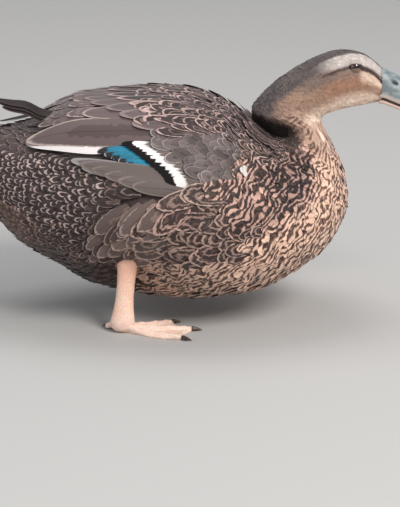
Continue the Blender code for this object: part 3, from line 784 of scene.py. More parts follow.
def bake_patches(root, uu, vv, patch):
    """Map with one patch for each vane at its root's place on the unwrapped body.

    Laced vanes get a cell each: roots are ranked into columns by station and within a
    column by angle, so cells keep the order of the unwrap and never cover each other.
    Plain small vanes get a patch of the given size straight at the root's place.
    """
    if patch is not None:
        low, high = root.min(0), root.max(0)
        middle = 0.01 + 0.98 * (root - low) / (high - low + 1e-9)
    else:
        count = len(root)
        columns = int(math.ceil(math.sqrt(count)))
        column, row = np.empty(count, int), np.empty(count, int)
        column[np.argsort(root[:, 0], kind="stable")] = np.arange(count) // columns
        rank = np.lexsort((root[:, 1], column))
        row[rank] = np.arange(count) - np.searchsorted(column[rank], column[rank])
        middle = (np.stack([column, row], -1) + 0.5) / columns
        patch = CELL_FILLED / columns
    local = np.stack(np.broadcast_arrays(uu, vv), -1) - 0.5
    return (middle[:, None, None, :] + local[None] * patch).reshape(-1, 2)


def vane_piece(name, surface, v, material, steps=6, across=4, waist=0.5, blunt=1.0,
               camber=0.15, patch=None, blended=False):
    """Joined mesh of many vanes laid on a surface.

    surface(p, q, up) gives points from its two parameters and a height. A point at share u
    along a vane and w across it is at root + lie * length * u + side * (half * width(u) * w
    + bend * 4 * u * (1 - u)); its height goes from root to tip height, with the edges
    dropped by camber * half * w ** 2 and tipped by roll. Width grows to the waist as
    0.5 + 0.5 * sin, then closes as an ellipse's end, cos(phi) ** blunt at sin(phi). A
    blended piece takes its colours from the markings under each point, so that the small
    face feathers don't step from one colour to the next.
    """
    first = steps // 2
    f = np.linspace(0, 1, first + 1)[:-1]
    phi = np.radians(np.linspace(0, TIP_STOP, steps - first + 1))
    u = np.concatenate([f * waist, waist + (1 - waist) * np.sin(phi)])[:, None]
    width = np.concatenate([0.5 + 0.5 * np.sin(f * np.pi / 2), np.cos(phi) ** blunt])[:, None]
    tip_map = np.concatenate([0.5 * f, 0.5 + 0.5 * np.sin(phi)])[:, None]
    w = np.linspace(-1, 1, across + 1)[None, :] * width
    length, half, low, high, roll, bend, flip = (
        v[k][:, None, None] for k in ("length", "half", "low", "high", "roll", "bend", "flip"))
    off = half * w + bend * 4 * u * (1 - u)
    p, q = (v["root"][:, k, None, None] + v["lie"][:, k, None, None] * (length * u)
            + v["side"][:, k, None, None] * off for k in (0, 1))
    up = low + (high - low) * u ** 1.15 - camber * half * w ** 2 + roll * w
    points = surface(p, q, up).reshape(-1, 3)
    per = (steps + 1) * (across + 1)
    quads = grid_quads(steps + 1, across + 1)[:, ::-1]
    quads = (quads[None] + (np.arange(len(length)) * per)[:, None, None]).reshape(-1, 4)
    vane = np.stack(np.broadcast_arrays(0.5 + 0.5 * w * flip, tip_map), -1).reshape(-1, 2)
    bake = bake_patches(v["root"], u, 0.5 + 0.5 * w, patch)
    spread = {k: np.repeat(v[k], per, 0) for k in ("ground", "edge", "mark", "pattern", "wavy")}
    if blended:
        looks = markings(p.ravel(), q.ravel())[:3]
        shade = np.repeat(v["shade"], per, 0)
        for key, look in zip(("ground", "edge", "mark"), looks):
            spread[key] = np.clip(look * shade, 0, 1)
    fields = list(spread.items())
    return new_piece(name, points, quads, (material,), "feathers",
                     [("vane", vane), ("OFBake", bake)], fields[:3], fields[3:])


def staggered(pitch_of, t_low, t_high, lift, across_share, seed):
    """Roots in staggered rows over the body between two stations.

    Distance along each line of lie is measured in local pitches and rows are its whole
    numbers; along each row the same is done across, every other row shifted by a half.
    """
    t = np.linspace(t_low, t_high, 600)
    theta = np.linspace(-180, 180, 361)
    tt, aa = np.meshgrid(t, theta, indexing="ij")
    points = body_point(tt, aa, lift)
    gone = np.linalg.norm(np.diff(points, axis=0), axis=-1) / pitch_of(tt, aa)[1:]
    gone = np.concatenate([np.zeros((1, len(theta))), np.cumsum(gone, 0)])
    found = []
    for k, stop in enumerate(np.arange(0.5, gone.max(), 1.0)):
        row_t = np.array([np.interp(stop, line, t, right=np.nan) for line in gone.T])
        held = np.where(np.isnan(row_t), t_high, row_t)
        gap = np.linalg.norm(np.diff(body_point(held, theta, lift), axis=0), axis=-1)
        gap = np.cumsum(gap / (pitch_of(held, theta)[1:] * across_share))
        gap = np.concatenate([[0], gap])
        angle = np.interp(np.arange(0.25 + 0.5 * (k % 2), gap[-1], 1.0), gap, theta)
        found.append(np.stack([np.interp(angle, theta, row_t), angle], -1))
    roots = np.concatenate(found)
    roots = roots[np.isfinite(roots[:, 0])]
    local = np.random.default_rng(seed)
    _, by_t, by_a, _ = body_frame(roots[:, 0], roots[:, 1], lift)
    shake = local.uniform(-ROOT_SHAKE, ROOT_SHAKE, roots.shape)
    shake = shake * pitch_of(roots[:, 0], roots[:, 1])[:, None]
    roots[:, 0] += shake[:, 0] / (np.linalg.norm(by_t, axis=-1) + 0.5)
    roots[:, 1] += shake[:, 1] / (np.linalg.norm(by_a, axis=-1) + 0.1)
    return roots


def lie_back(roots, turn, lift=0.0):
    """Roots of feathers that point back, with steps in (t, theta) for 1 mm along and across.

    turn is in degrees, positive towards the underside on both sides of the body.
    """
    _, by_t, by_a, normal = body_frame(roots[:, 0], roots[:, 1], lift)
    back = -unit(by_t)
    down = np.cross(normal, back)
    down *= np.sign(np.sum(down * by_a, -1, keepdims=True)) * np.sign(roots[:, 1:2] + 1e-9)
    rad = np.radians(turn)[:, None]
    ahead = back * np.cos(rad) + down * np.sin(rad)
    return {"root": roots, "lie": solve_way(by_t, by_a, ahead),
            "side": solve_way(by_t, by_a, np.cross(normal, ahead))}


def with_looks(v, looks, seed, spread=0.10, worn_most=0.5):
    """Add the colours to vanes, each a little lighter or darker than the next.

    Edges are worn towards the ground by up to worn_most. Plain numbers become one per vane.
    """
    local = np.random.default_rng(seed)
    count = len(v["root"])
    v = {"roll": 0.0, "bend": 0.0, "flip": 1.0, **v}
    for key in ("length", "half", "low", "high", "roll", "bend", "flip"):
        v[key] = np.broadcast_to(np.asarray(v[key], float), (count,))
    spread = np.broadcast_to(spread, (count,))[:, None]
    shade = 1 + local.normal(0, 1, (count, 1)) * spread
    shade = np.clip(shade * (1 + local.normal(0, TINT_SPREAD, (count, 3))), *SHADE_LIMITS)
    worn, faded = local.uniform(0, worn_most, count), local.uniform(0, FADED_MOST, count)
    ground, edge, mark = (np.broadcast_to(value, (count, 3)) * shade for value in looks[:3])
    v["ground"], v["shade"] = np.clip(ground, 0, 1), shade
    v["wavy"] = looks[4] if len(looks) > 4 else np.zeros((count, 3))
    v["mark"] = np.clip(mix(mark, ground, faded * (1 - v["wavy"][:, 0])), 0, 1)
    v["edge"] = np.clip(mix(edge, ground, worn), 0, 1)
    uneven = 1 + local.normal(0, PATTERN_SPREAD, (count, 3))
    v["pattern"] = np.broadcast_to(looks[3], (count, 3)) * uneven
    return v


def flank_share(t, a):
    """1 on the long flank feathers below the wing, 0 elsewhere."""
    a = np.abs(a)
    edge_at = np.interp(a, *FLANK_EDGE)
    return hill(t, edge_at - 0.4, edge_at, 9.0, 10.4) * hill(a, 60, 68, 106, 122)


def body_pitch(t, a):
    """Distance between body feathers in mm, wider on the flank, closer on the breast."""
    a = np.abs(a)
    behind = step(t, 7.2, 6.2) * step(a, 40, 60)
    return np.interp(t, PITCH_AT, PITCH) * (1 + 0.42 * flank_share(t, a) - 0.24 * behind)


SCAP_AT = (6.2, 6.8, 7.4, 8.5, 9.7, 10.5, 11.3)
SCAP_LOW = (42, 42, 39, 37, 31, 30, 34)
EYE_PLACE = (22.45, 57.0)
EYE_OPENING = (5.6, 3.7)             # half width and height of the bare ring round the eye

# left bare: under the folded wings and their shoulder feathers, and round the eye
roots = staggered(body_pitch, 0.15, 23.93, 0.0, 1.10, 5)
t, angle = roots[:, 0], np.abs(roots[:, 1])
low = np.interp(t, WING_AT, WING_LOW)
clear_of = np.interp(t, (7.0, 7.5, 8.2, 9.9, 10.6), (-9, 3, -2, -2, -9))
under_wing = (angle < low + clear_of) & (t > 5.4) & (t < 10.9)
under_wing |= (angle < low - 9) & (angle > 22) & (t > 4.7) & (t <= 5.4)
under_wing |= (angle < np.interp(t, SCAP_AT, SCAP_LOW)) & (t > 5) & (t < 11.3)
eye_off = (body_point(t, angle) - body_point(*EYE_PLACE))[:, (0, 2)] / EYE_OPENING
near_eye = (np.sum(eye_off ** 2, -1) < 1) & (t > 20)
kept = ~(under_wing | near_eye)

# places where the coat stands up or turns: shares of each, 0 to 1
roots, low, t, angle = roots[kept], low[kept], t[kept], angle[kept]
pitch, flank, depth = body_pitch(t, roots[:, 1]), flank_share(t, roots[:, 1]), coat_depth(t)
wing_front = hill(t, 10.3, 10.9, 11.4, 12.6) * hill(angle, 24, 34, 64, 76)
rear_edge = t - np.interp(angle, *FLANK_EDGE)
rear_flank = hill(rear_edge, 0.0, 0.12, 0.9, 1.5) * hill(angle, 66, 71, 108, 116)
over_leg = step(t, 7.9, 6.6) * flank
nape_rim = hill(t, 16.9, 17.6, 18.2, 18.8) * step(angle, 88, 60)
fore = step(t, 8.6, 10.4)
wing_rim = step(angle, low + 8, low + 3) * hill(t, 7.8, 8.4, 9.8, 10.4)
ruff = hill(t, 10.4, 11.2, 12.6, 13.4) * step(angle, 40, 18)
streaked = hill(t, 16.8, 18.0, 20.0, 21.2) * step(angle, 66, 44)
turn = 10.0 * flank + 40.0 * np.maximum(over_leg, rear_flank)
turn = turn + 9.0 * hill(t, 11, 13, 14, 16) * step(angle, 150, 90)
turn = turn + rng.normal(0, 1, len(t)) * (8.0 + 1.0 * flank)
coat = {
    **lie_back(roots, turn),
    "length": pitch * (2.6 + 0.5 * flank + 0.4 * rear_flank) * rng.uniform(0.82, 1.18, len(t)),
    "half": pitch * (0.76 + 0.06 * flank) * rng.uniform(0.90, 1.10, len(t)),
    "low": -0.25 - 0.38 * depth + 0.8 * wing_front + 0.6 * rear_flank + 0.8 * wing_rim + 1.1 * ruff,
    "high": (0.10 - 0.35 * fore + 0.9 * flank + 1.2 * wing_front + 2.0 * rear_flank
             + 2.0 * nape_rim + 1.6 * wing_rim + 2.6 * ruff + rng.normal(0, 0.07, len(t)) * depth),
    "roll": rng.normal(0, 0.08, len(t)) * pitch,
}
mingled = t + rng.normal(0, 0.22, len(t)) * step(t, 14, 13)
coat = with_looks(coat, markings(mingled, roots[:, 1]), 7, 0.10 + 0.10 * streaked, 0.35)
laced = feather_material("feather_laced", 0.62, 0.12)
right = roots[:, 1] > 0
used = np.zeros(len(t), bool)
for tract, inside in (
        ("tail_coverts", t < 3.2), ("rump", t < 5.6), ("flank_right", (t < 9.6) & right),
        ("flank_left", t < 9.6), ("breast_right", (t < 13.6) & right), ("breast_left", t < 13.6),
        ("neck", t < 17.0), ("head_right", right), ("head_left", ~right)):
    inside = inside & ~used
    used |= inside
    shape = {"camber": 0.07}
    if "head" in tract:
        shape = {"camber": 0.05, "steps": 4, "across": 2, "patch": SMALL_PATCH, "blended": True}
    chosen = {key: value[inside] for key, value in coat.items()}
    vane_piece("feathers_" + tract, coat_point, chosen, laced, **shape)

# Folded wings, one on each side: the arm is covered by plain small coverts, then a row of
# great coverts barred white and black over the blue secondaries, long blades below and
# broad tertials above, and laced shoulder feathers lying over all their roots.
WING_BASE = -2.4                     # lowest layer of the wing, against the outline
GREAT_TIPS = np.array([(7.70, 63.8), (7.66, 61.8), (7.52, 58.6), (7.29, 54.6), (7.06, 50.2),
                       (6.90, 47.8), (6.78, 46.0)])
GREAT_REACH = (1.35, 1.2)            # from a great covert's tip back to its root
BAR_FRONT = ((42, 46, 54, 62, 66), (7.75, 7.90, 8.35, 8.85, 9.0))
REAR_TIPS = np.array([(5.42, 1.0), (5.75, 7.5), (5.95, 14.0), (6.35, 20.5), (6.7, 27.0),
                      (7.0, 34.0)])
MID_TIPS = np.array([(6.35, 4.0), (6.6, 10.5), (6.9, 17.5), (7.2, 24.0), (7.45, 30.5)])


def wing_surface(p, q, up):
    """Surface for vanes on the folded wings, raised over the rump."""
    return coat_point(p, q, WING_BASE + up - back_fall(p, q), BACK_LIFT)


def strung(side, root, tip, half, low, high, bend=0.0):
    """Vanes between root and tip places (station, angle), for one side of the bird.

    side is 1 for her right and -1 for her left; the map is flipped on her left, so that
    1 across a vane is its lower edge on both sides. Heights are over the wing's surface.
    """
    root, tip = (np.array(places, float) * (1.0, side) for places in (root, tip))
    way = tip - root
    length = np.linalg.norm(body_point(*tip.T, BACK_LIFT) - body_point(*root.T, BACK_LIFT), axis=-1)
    _, by_t, by_a, normal = body_frame(*((root + tip) / 2).T, BACK_LIFT)
    ahead = unit(by_t * way[:, :1] + by_a * way[:, 1:])
    return {"root": root, "lie": way / length[:, None],
            "side": solve_way(by_t, by_a, np.cross(normal, ahead)),
            "length": length, "half": half, "low": low, "high": high,
            "bend": side * np.array(bend), "flip": side}


def between(first, last, count):
    """Evenly spaced places from first to last."""
    return np.array(first) + (np.array(last) - np.array(first)) * np.linspace(0, 1, count)[:, None]


def flat_looks(ground, edge, mark, pattern):
    """Colours for a whole group of like feathers."""
    return tone(*ground), tone(*edge), tone(*mark), np.array(pattern)


def lay_group(name, surface, v, looks, seed, spread, material, worn=0.5, **shape):
    """Piece of like feathers; looks are its ground, edge and mark colours and its pattern."""
    v = with_looks(v, flat_looks(*looks), seed, spread, worn)
    vane_piece(name, surface, v, material, **shape)


def scap_pitch(t, _angle=0):
    """Distance between shoulder feathers in mm, growing from the mantle to their ends."""
    return np.interp(t, (7.4, 8.2, 9.0, 10.0, 11.4), (9.0, 8.0, 7.2, 6.3, 5.4))


def covert_pitch(t, _angle=0):
    """Distance between the plain coverts of the arm in mm."""
    return np.interp(t, (7.0, 8.5, 10.5), (6.8, 5.8, 4.6))


plain = feather_material("feather_plain", 0.58, 0.10)
barred = feather_material("feather_barred", 0.60, 0.0, 0.15, bars=(
    (0.55, 0.045, tone(232, 226, 223)), (0.80, 0.015, tone(15, 12, 13))))
speculum = feather_material("feather_speculum", 0.34, 0.0, 0.6, bars=(
    (0.90, 0.015, tone(14, 12, 14)), (0.99, 0.01, tone(226, 220, 216))))
webbed = feather_material("feather_white_web", 0.55, 0.08, web=(
    0.70, tone(17, 13, 13), tone(226, 218, 217)))
scap_roots = staggered(scap_pitch, 7.7, 11.45, BACK_LIFT, 0.92, 21)
covert_roots = staggered(covert_pitch, 7.15, 10.75, BACK_LIFT, 1.05, 22)

for word, side, _ in FEET:
    local = np.random.default_rng(30 + int(side))
    # blades of the hand, the lowest feathers of the wing, and the grey coverts over them
    lay_group("wing_blades_" + word, wing_surface,
              strung(side, between((8.3, 62.0), (8.5, 68.0), 5),
                     between((5.75, 59.0), (7.0, 68.0), 5), 6.2, 0.6, np.linspace(3.4, 2.6, 5)),
              ((104, 92, 87), (134, 121, 114), (88, 76, 73), (0.05, 0.0, 0.05)),
              40, 0.05, plain, steps=12, camber=0.08)
    lay_group("wing_hand_coverts_" + word, wing_surface,
              strung(side, ((8.0, 61.5), (8.1, 64.0)), ((5.50, 57.0), (5.80, 60.4)),
                     5.0, (0.3, 0.0), (3.2, 2.8)),
              ((108, 100, 102), (162, 154, 154), (96, 88, 90), (0.09, 0.0, 0.10)),
              41, 0.04, plain, steps=12, across=6, camber=0.08, blunt=0.8)
    # blue secondaries
    lay_group("wing_secondaries_" + word, wing_surface,
              strung(side, between((8.6, 61.0), (8.4, 47.5), 7),
                     between((7.20, 59.8), (6.20, 50.8), 7), 5.4, 0.2, np.linspace(1.2, 2.0, 7)),
              ((14, 116, 146), (16, 90, 118), (22, 134, 162), (0.03, 0.45, 0.10)),
              42, 0.06, speculum, steps=14, across=6, camber=0.06, blunt=0.8)
    # great coverts, barred across their tips
    order = np.linspace(0, 6, 15)
    tips = np.stack([np.interp(order, range(7), line) for line in GREAT_TIPS.T], -1)
    lay_group("wing_great_coverts_" + word, wing_surface,
              strung(side, tips + GREAT_REACH, tips, 3.7, 0.6, np.linspace(2.0, 2.9, 15)),
              ((116, 104, 98), (128, 116, 108), (100, 89, 84), (0.03, 0.0, 0.08)),
              43, 0.04, barred, steps=10, across=6, camber=0.10, waist=0.6)
    # plain coverts of the arm, raised over the bar and with pale edges near the shoulder
    t, angle = covert_roots[:, 0], np.abs(covert_roots[:, 1])
    on_side = (covert_roots[:, 1] * side > 0) & (t > np.interp(angle, *BAR_FRONT))
    on_side &= angle > np.interp(t, SCAP_AT, SCAP_LOW) - 5
    on_side &= angle < np.interp(t, WING_AT, WING_LOW) - 1
    t, angle, roots = t[on_side], angle[on_side], covert_roots[on_side]
    pitch = covert_pitch(t)
    bar_front = np.interp(angle, *BAR_FRONT)
    near_bar = step(t, bar_front + 0.5, bar_front)
    small = {**lie_back(roots, local.normal(0, 10, len(t)), BACK_LIFT),
             "length": pitch * local.uniform(2.2, 3.1, len(t)), "half": pitch * 0.80,
             "low": 0.9 + 0.5 * near_bar, "high": 2.2 + 1.1 * near_bar,
             "roll": local.normal(0, 0.15, len(t))}
    small = with_looks(small, flat_looks((99, 87, 84), (130, 117, 113), (74, 63, 61),
                                         (0.08, 0.0, 0.24)), 44 + int(side), 0.26)
    frosted = step(t, 9.3, 10.2) * step(angle, 52, 40) + 0.7 * near_bar
    frosted = np.clip(frosted * local.uniform(0, 1.0, len(t)), 0, 1)
    small["edge"] = mix(small["edge"], tone(198, 188, 184), frosted)
    vane_piece("wing_small_coverts_" + word, wing_surface, small, plain, camber=0.05)
    if side > 0:
        lay_group("wing_white_spot", wing_surface,
                  strung(side, ((10.24, 50.4), (10.27, 52.2), (10.24, 54.0)),
                         ((9.84, 50.6), (9.72, 52.2), (9.84, 53.8)), (2.5, 3.0, 2.5), 2.0,
                         (5.0, 5.3, 5.0)),
                  ((226, 220, 216), (232, 226, 222), (214, 206, 202), (0.05, 0.0, 0.1)),
                  45, 0.03, plain, steps=8)
    # tertials: the lowest with a broad white outer web, the next brown, two above
    lay_group("wing_outer_tertial_" + word, wing_surface,
              strung(side, ((7.5, 40.0),), ((4.08, 37.0),), 12.6, 1.2, 2.6, 5.5),
              ((78, 60, 57), (196, 172, 162), (62, 46, 44), (0.05, 0.0, 0.12)),
              46, 0.0, webbed, steps=22, across=10, camber=0.05, waist=0.45)
    lay_group("wing_tertials_" + word, wing_surface,
              strung(side, ((7.6, 36.5), (7.6, 22.0), (7.6, 8.0)),
                     ((4.10, 35.8), (5.75, 24.8), (5.42, 6.0)), (13.3, 9.0, 9.5),
                     (1.5, 1.0, 0.2), (3.2, 2.4, 1.6), (3.0, 0, 0)),
              ((98, 82, 79), (202, 180, 170), (76, 60, 58), (0.04, 0.0, 0.30)),
              47, 0.04, plain, steps=20, across=10, camber=0.05, waist=0.45)
    # long plain shoulder feathers at the rear, then shorter ones with pale edges
    lay_group("wing_rear_shoulder_" + word, wing_surface,
              strung(side, REAR_TIPS * (1, 0.9) + (2.9, 1), REAR_TIPS, 9.0,
                     np.linspace(-0.4, 1.6, 6), np.linspace(1.7, 3.4, 6)),
              ((96, 81, 80), (150, 131, 126), (80, 66, 65), (0.03, 0.0, 0.16)),
              50, 0.07, plain, steps=16, across=8, camber=0.07, waist=0.45, blunt=0.9)
    lay_group("wing_mid_shoulder_" + word, wing_surface,
              strung(side, MID_TIPS * (1, 0.9) + (2.2, 0), MID_TIPS, np.linspace(7.0, 6.2, 5),
                     np.linspace(0.2, 1.8, 5), np.linspace(2.2, 3.8, 5)),
              ((56, 42, 41), (190, 163, 155), (104, 84, 80), (0.085, 0.0, 0.16)),
              51, 0.10, laced, 0.2, steps=14, across=6, camber=0.08, blunt=0.9)
    # laced shoulder feathers, darker and larger towards the rear
    inside = np.abs(scap_roots[:, 1]) < np.interp(scap_roots[:, 0], SCAP_AT, SCAP_LOW) + 1
    roots = scap_roots[inside & (scap_roots[:, 1] * side > 0)]
    count, pitch = len(roots), scap_pitch(roots[:, 0])
    rear = step(roots[:, 0], 10.5, 7.6)
    high_side = step(np.abs(roots[:, 1]), 8, 28)
    shoulder = {**lie_back(roots, local.normal(0, 9, count), BACK_LIFT),
                "length": pitch * (2.5 + 0.5 * rear) * local.uniform(0.9, 1.12, count),
                "half": pitch * (0.66 - 0.06 * rear) * local.uniform(0.9, 1.1, count),
                "low": -0.6 + 1.4 * high_side + 0.6 * rear,
                "high": 0.9 + 2.2 * high_side + 1.0 * rear + local.normal(0, 0.25, count),
                "roll": local.normal(0, 0.10, count) * pitch}
    ground = mix(tone(34, 22, 22) * np.ones((count, 1)), tone(52, 39, 38), rear)
    looks = (ground, tone(190, 160, 152), tone(146, 117, 110), np.array((0.070, 0.46, 0.055)))
    vane_piece("wing_shoulder_" + word, wing_surface,
               with_looks(shoulder, looks, 48 + int(side), 0.12, 0.2), laced,
               steps=10, across=6, camber=0.10, blunt=0.85)

# Wing tips and tail: long dark blades crossing over the rump, her right ones curled up at
# the point, and a fan of brown tail feathers edged with buff below them.
TIP_FROM = (-76.0, 23.0)
TIP_REACH = 62.0
TIP_PATHS = {1.0: (166, 163.5, 163.2, 168.0, 168.4, 169.4),      # heights along each side's tip
             -1.0: (167.4, 162.8, 158.4, 155, 152, 149.6)}
TIP_ROLL = {1.0: 0.42, -1.0: 0.12}   # fall of the outer edge
COVER_TIPS = np.array([(5.30, 3.0), (5.32, 13.0), (5.28, 23.0), (4.80, 1.0), (4.86, 9.0),
                       (4.80, 18.0), (4.86, 27.0), (4.42, 5.0), (4.36, 13.5), (4.40, 22.0)])
COVER_ROWS = (3, 4, 3)
TAIL_ROOT = (-150.0, 142.0)
TAIL_REACH = 84.0
TAIL_SPREAD = 33.0
TAIL_SLOPE = 0.29
TAIL_INSIDE = 16.0                   # length of each tail feather hidden at its root


def curve(values, a):
    """Smooth curve through evenly spaced values, a from 0 to 1."""
    table = np.array(values, float)[:, None]
    return along(table, np.asarray(a, float) * (len(values) - 1))[..., 0]


def tail_surface(p, q, up):
    """Tail fan: p is millimetres from its root, q degrees off the middle line."""
    turn = np.radians(q)
    r = p / TAIL_REACH
    drop = 5.0 * (q / TAIL_SPREAD * r) ** 2 - 3.0 * r ** 3
    return np.stack([TAIL_ROOT[0] - p * np.cos(turn), p * np.sin(turn),
                     TAIL_ROOT[1] - TAIL_SLOPE * p - drop + up], -1)


def wing_tip_surface(side):
    """Surface of one wing tip: p millimetres along it, q millimetres to her left."""
    def surface(p, q, up):
        a = p / TIP_REACH
        z = curve(TIP_PATHS[side], np.clip(a, 0, 1)) + side * TIP_ROLL[side] * q * step(a, 0, 0.4)
        y = -side * (TIP_FROM[1] - 15.0 * a) + q
        return np.stack([TIP_FROM[0] - p, y, z - 0.022 * q ** 2 + up], -1)
    return surface


def straight(root, along_step, across_step, length, half, low, high):
    """Vanes that run along a surface's first parameter, with its steps per millimetre."""
    return {"root": root, "lie": np.tile((along_step, 0.0), (len(root), 1)),
            "side": np.tile((0.0, across_step), (len(root), 1)),
            "length": length, "half": half, "low": low, "high": high}


dark_blade = feather_material("feather_dark_blade", 0.55, 0.0, 0.25)
for word, side, _ in FEET:
    rank = np.arange(3)
    lay_group("wing_tip_" + word, wing_tip_surface(side),
              straight(np.stack([8.0 + 2 * rank, side * (2.0 - 2.2 * rank)], -1), 1.0, -1.0,
                       54.0 - 5.0 * rank, 5.0 - 0.4 * rank, -1.5 - rank, 0.3 - 1.3 * rank),
              ((38, 28, 27), (74, 60, 56), (30, 22, 21), (0.04, 0.0, 0.2)),
              60 + int(side), 0.05, dark_blade, steps=20, across=6, camber=0.05, waist=0.4)
    # soft feathers of the rump that cover the roots of the blades
    lay_group("rump_cover_" + word, wing_surface,
              strung(side, COVER_TIPS * (1, 0.94) + (1.25, 0), COVER_TIPS, 6.2,
                     np.repeat((1.0, 0.6, 0.2), COVER_ROWS),
                     np.repeat((2.3, 1.9, 1.5), COVER_ROWS)),
              ((88, 73, 71), (160, 141, 135), (118, 101, 97), (0.05, 0.5, 0.06)),
              58 + int(side), 0.10, laced, steps=12, across=6, camber=0.08)

u = np.linspace(-1, 1, 14)
lay_group("tail_fan", tail_surface,
          straight(np.stack([np.full(14, TAIL_INSIDE), u * TAIL_SPREAD * 0.92], -1), 1.0, -0.95,
                   TAIL_REACH * (1 - 0.15 * u ** 2) - TAIL_INSIDE, 7.2, 0.4 - 2.4 * np.abs(u),
                   0.2 - 1.2 * np.abs(u)),
          ((78, 62, 56), (188, 158, 134), (150, 122, 101), (0.12, 0.50, 0.06)),
          63, 0.05, laced, steps=20, across=8, camber=0.05, blunt=0.8, waist=0.6)

# Hollow of the neck: soft feathers that hang from the nape onto the mantle and close
# the gap between them, since she holds her head drawn back. Their near-black colour is dark
# feathers darkened with painted shade of the hollow under the overhanging nape.
HOLLOW_TOP = (17.9, -1.6)            # station on the nape at the middle, change to the sides
HOLLOW_LOW = (10.9, 4.5)             # station on the mantle at the middle, change to the sides
HOLLOW_WIDE = 80.0                   # angle of the neck's side where both lines meet the skin


def hollow_surface(p, q, up):
    """Curtain from the nape (p = 0) to the mantle (p = 1), q degrees round the nape.

    Both lines run round towards the side of the neck, their stations changing with powers
    of the share of the way; the curtain between them is bowed in by a half sine.
    """
    share = np.abs(q) / HOLLOW_WIDE
    sunk = 0.2 - 5.0 * share ** 3 - 4.0 * np.maximum(p - 1.0, 0)
    top = coat_point(HOLLOW_TOP[0] + HOLLOW_TOP[1] * share ** 2, q, sunk)
    low = coat_point(HOLLOW_LOW[0] + HOLLOW_LOW[1] * share ** 1.3,
                     q * (0.03 + 0.52 * share ** 4), sunk)
    bow = 4.5 * np.sin(np.pi * np.clip(p, 0, 1)) * (1 - share) * step(share, 0.0, 0.4)
    return mix(top, low, np.minimum(p, 1.0)) + np.stack([bow - up, 0 * up, 0.2 * up], -1)


def shaken_rows(rows, columns, per_row, first, gap, shake):
    """Roots in staggered rows, every other row shifted by half a gap, each a little shaken."""
    row, column = np.meshgrid(np.arange(rows), columns, indexing="ij")
    spots = np.stack([row / per_row + first, (column + 0.5 * (row % 2)) * gap], -1).reshape(-1, 2)
    return spots + rng.uniform(-1, 1, spots.shape) * shake


# the near-black colours of these feathers are dark feathers with painted shade of the hollow
roots = shaken_rows(8, np.arange(-24, 25), 7.5, -0.08, 4.3, (0.03, 0.8))
count = len(roots)
lay_group("feathers_neck_hollow_painted_shade", hollow_surface,
          straight(roots, 1 / 17.0, 2.9, rng.uniform(5.6, 7.4, count), rng.uniform(1.5, 2.0, count),
                   -0.8, rng.uniform(0.3, 1.3, count)),
          ((32, 23, 22), (52, 39, 36), (24, 17, 16), (0.08, 0.0, 0.25)),
          66, 0.22, laced, steps=4, across=2, patch=SMALL_PATCH)

# Thighs: short dark feathers over the leg down to the hock, closing it off from the belly.
# They lie round a cone that starts inside the belly and narrows to the hock.
THIGH_HALF = (17.0, 14.5, 11.5, 9.6)


def thigh_surface(side, x0):
    """Thigh cone: p is its share from the belly down to the hock, q degrees round it."""
    def surface(p, q, up):
        half = curve(THIGH_HALF, np.clip(p, 0, 1)) + up
        turn = np.radians(q)
        x = x0 + 27.0 - 18.0 * p + 1.1 * half * np.cos(turn)
        y = -side * (LEG_Y - 14.0 + 13.0 * p) + 0.85 * half * np.sin(turn)
        return np.stack([x, y, 92.0 - 34.0 * p + 0 * q], -1)
    return surface


for word, side, x0 in FEET:
    roots = shaken_rows(9, np.arange(24), 10.0, -0.1, 15.0, (0.02, 2.0))
    count = len(roots)
    lay_group("feathers_thigh_" + word, thigh_surface(side, x0),
              straight(roots, 1 / 38.0, 4.2, rng.uniform(9, 11, count),
                       rng.uniform(2.6, 3.2, count), -1.5, rng.uniform(0.2, 0.9, count)),
              ((96, 74, 62), (134, 106, 88), (62, 46, 40), (0.12, 0.5, 0.12)),
              67 + int(side), 0.12, laced, steps=5, across=3, patch=SMALL_PATCH)

# Eyes: dark wet globes sunk in the sides of the head, half closed by feathered lids that
# are folds of the same skin, with a thin bare rim along the opening.
EYE_OUT = 13.0                       # centre of the globe off the middle plane
EYE_MIDDLE = (136.0, 197.0)
EYE_RADIUS = 5.4
LID_RADIUS = 5.75
LID_SINK = 0.35                      # lids' outer edge under the head's outline
OPENING = (3.6, 1.55, 1.70)          # half width, height above and below the middle
LID_EDGE = (7.6, 5.6)                # half width and height of the whole ring
PUPIL = 0.0027                       # metres, as are the two radii of the iris
IRIS = (0.0036, 0.0046)


def eye_globe(side):
    """Points, quads and distance off the axis of sight, in metres, of a ball of rings."""
    look = unit(np.array([0.22, -side, 0.05]))
    up = unit(UPWARD - look * look[2])
    polar = np.radians(np.linspace(0, 180, 36))[:, None, None]
    spin = round_angles(48)[None, :, None]
    middle = np.array([EYE_MIDDLE[0], -side * EYE_OUT, EYE_MIDDLE[1]])
    ring = up * np.cos(spin) + np.cross(up, look) * np.sin(spin)
    points = middle + EYE_RADIUS * (look * np.cos(polar) + ring * np.sin(polar))
    off_axis = np.where(np.cos(polar) > 0, np.sin(polar), 1.0) * np.ones(points.shape)
    flat, quads, sample = points.reshape(-1, 3), grid_quads(36, 48, True), 48 * 17
    out = flat[quads[sample]].mean(0) - middle
    return flat, turned_out(flat, quads, sample, out), off_axis.reshape(-1, 3) * EYE_RADIUS / 1000.0


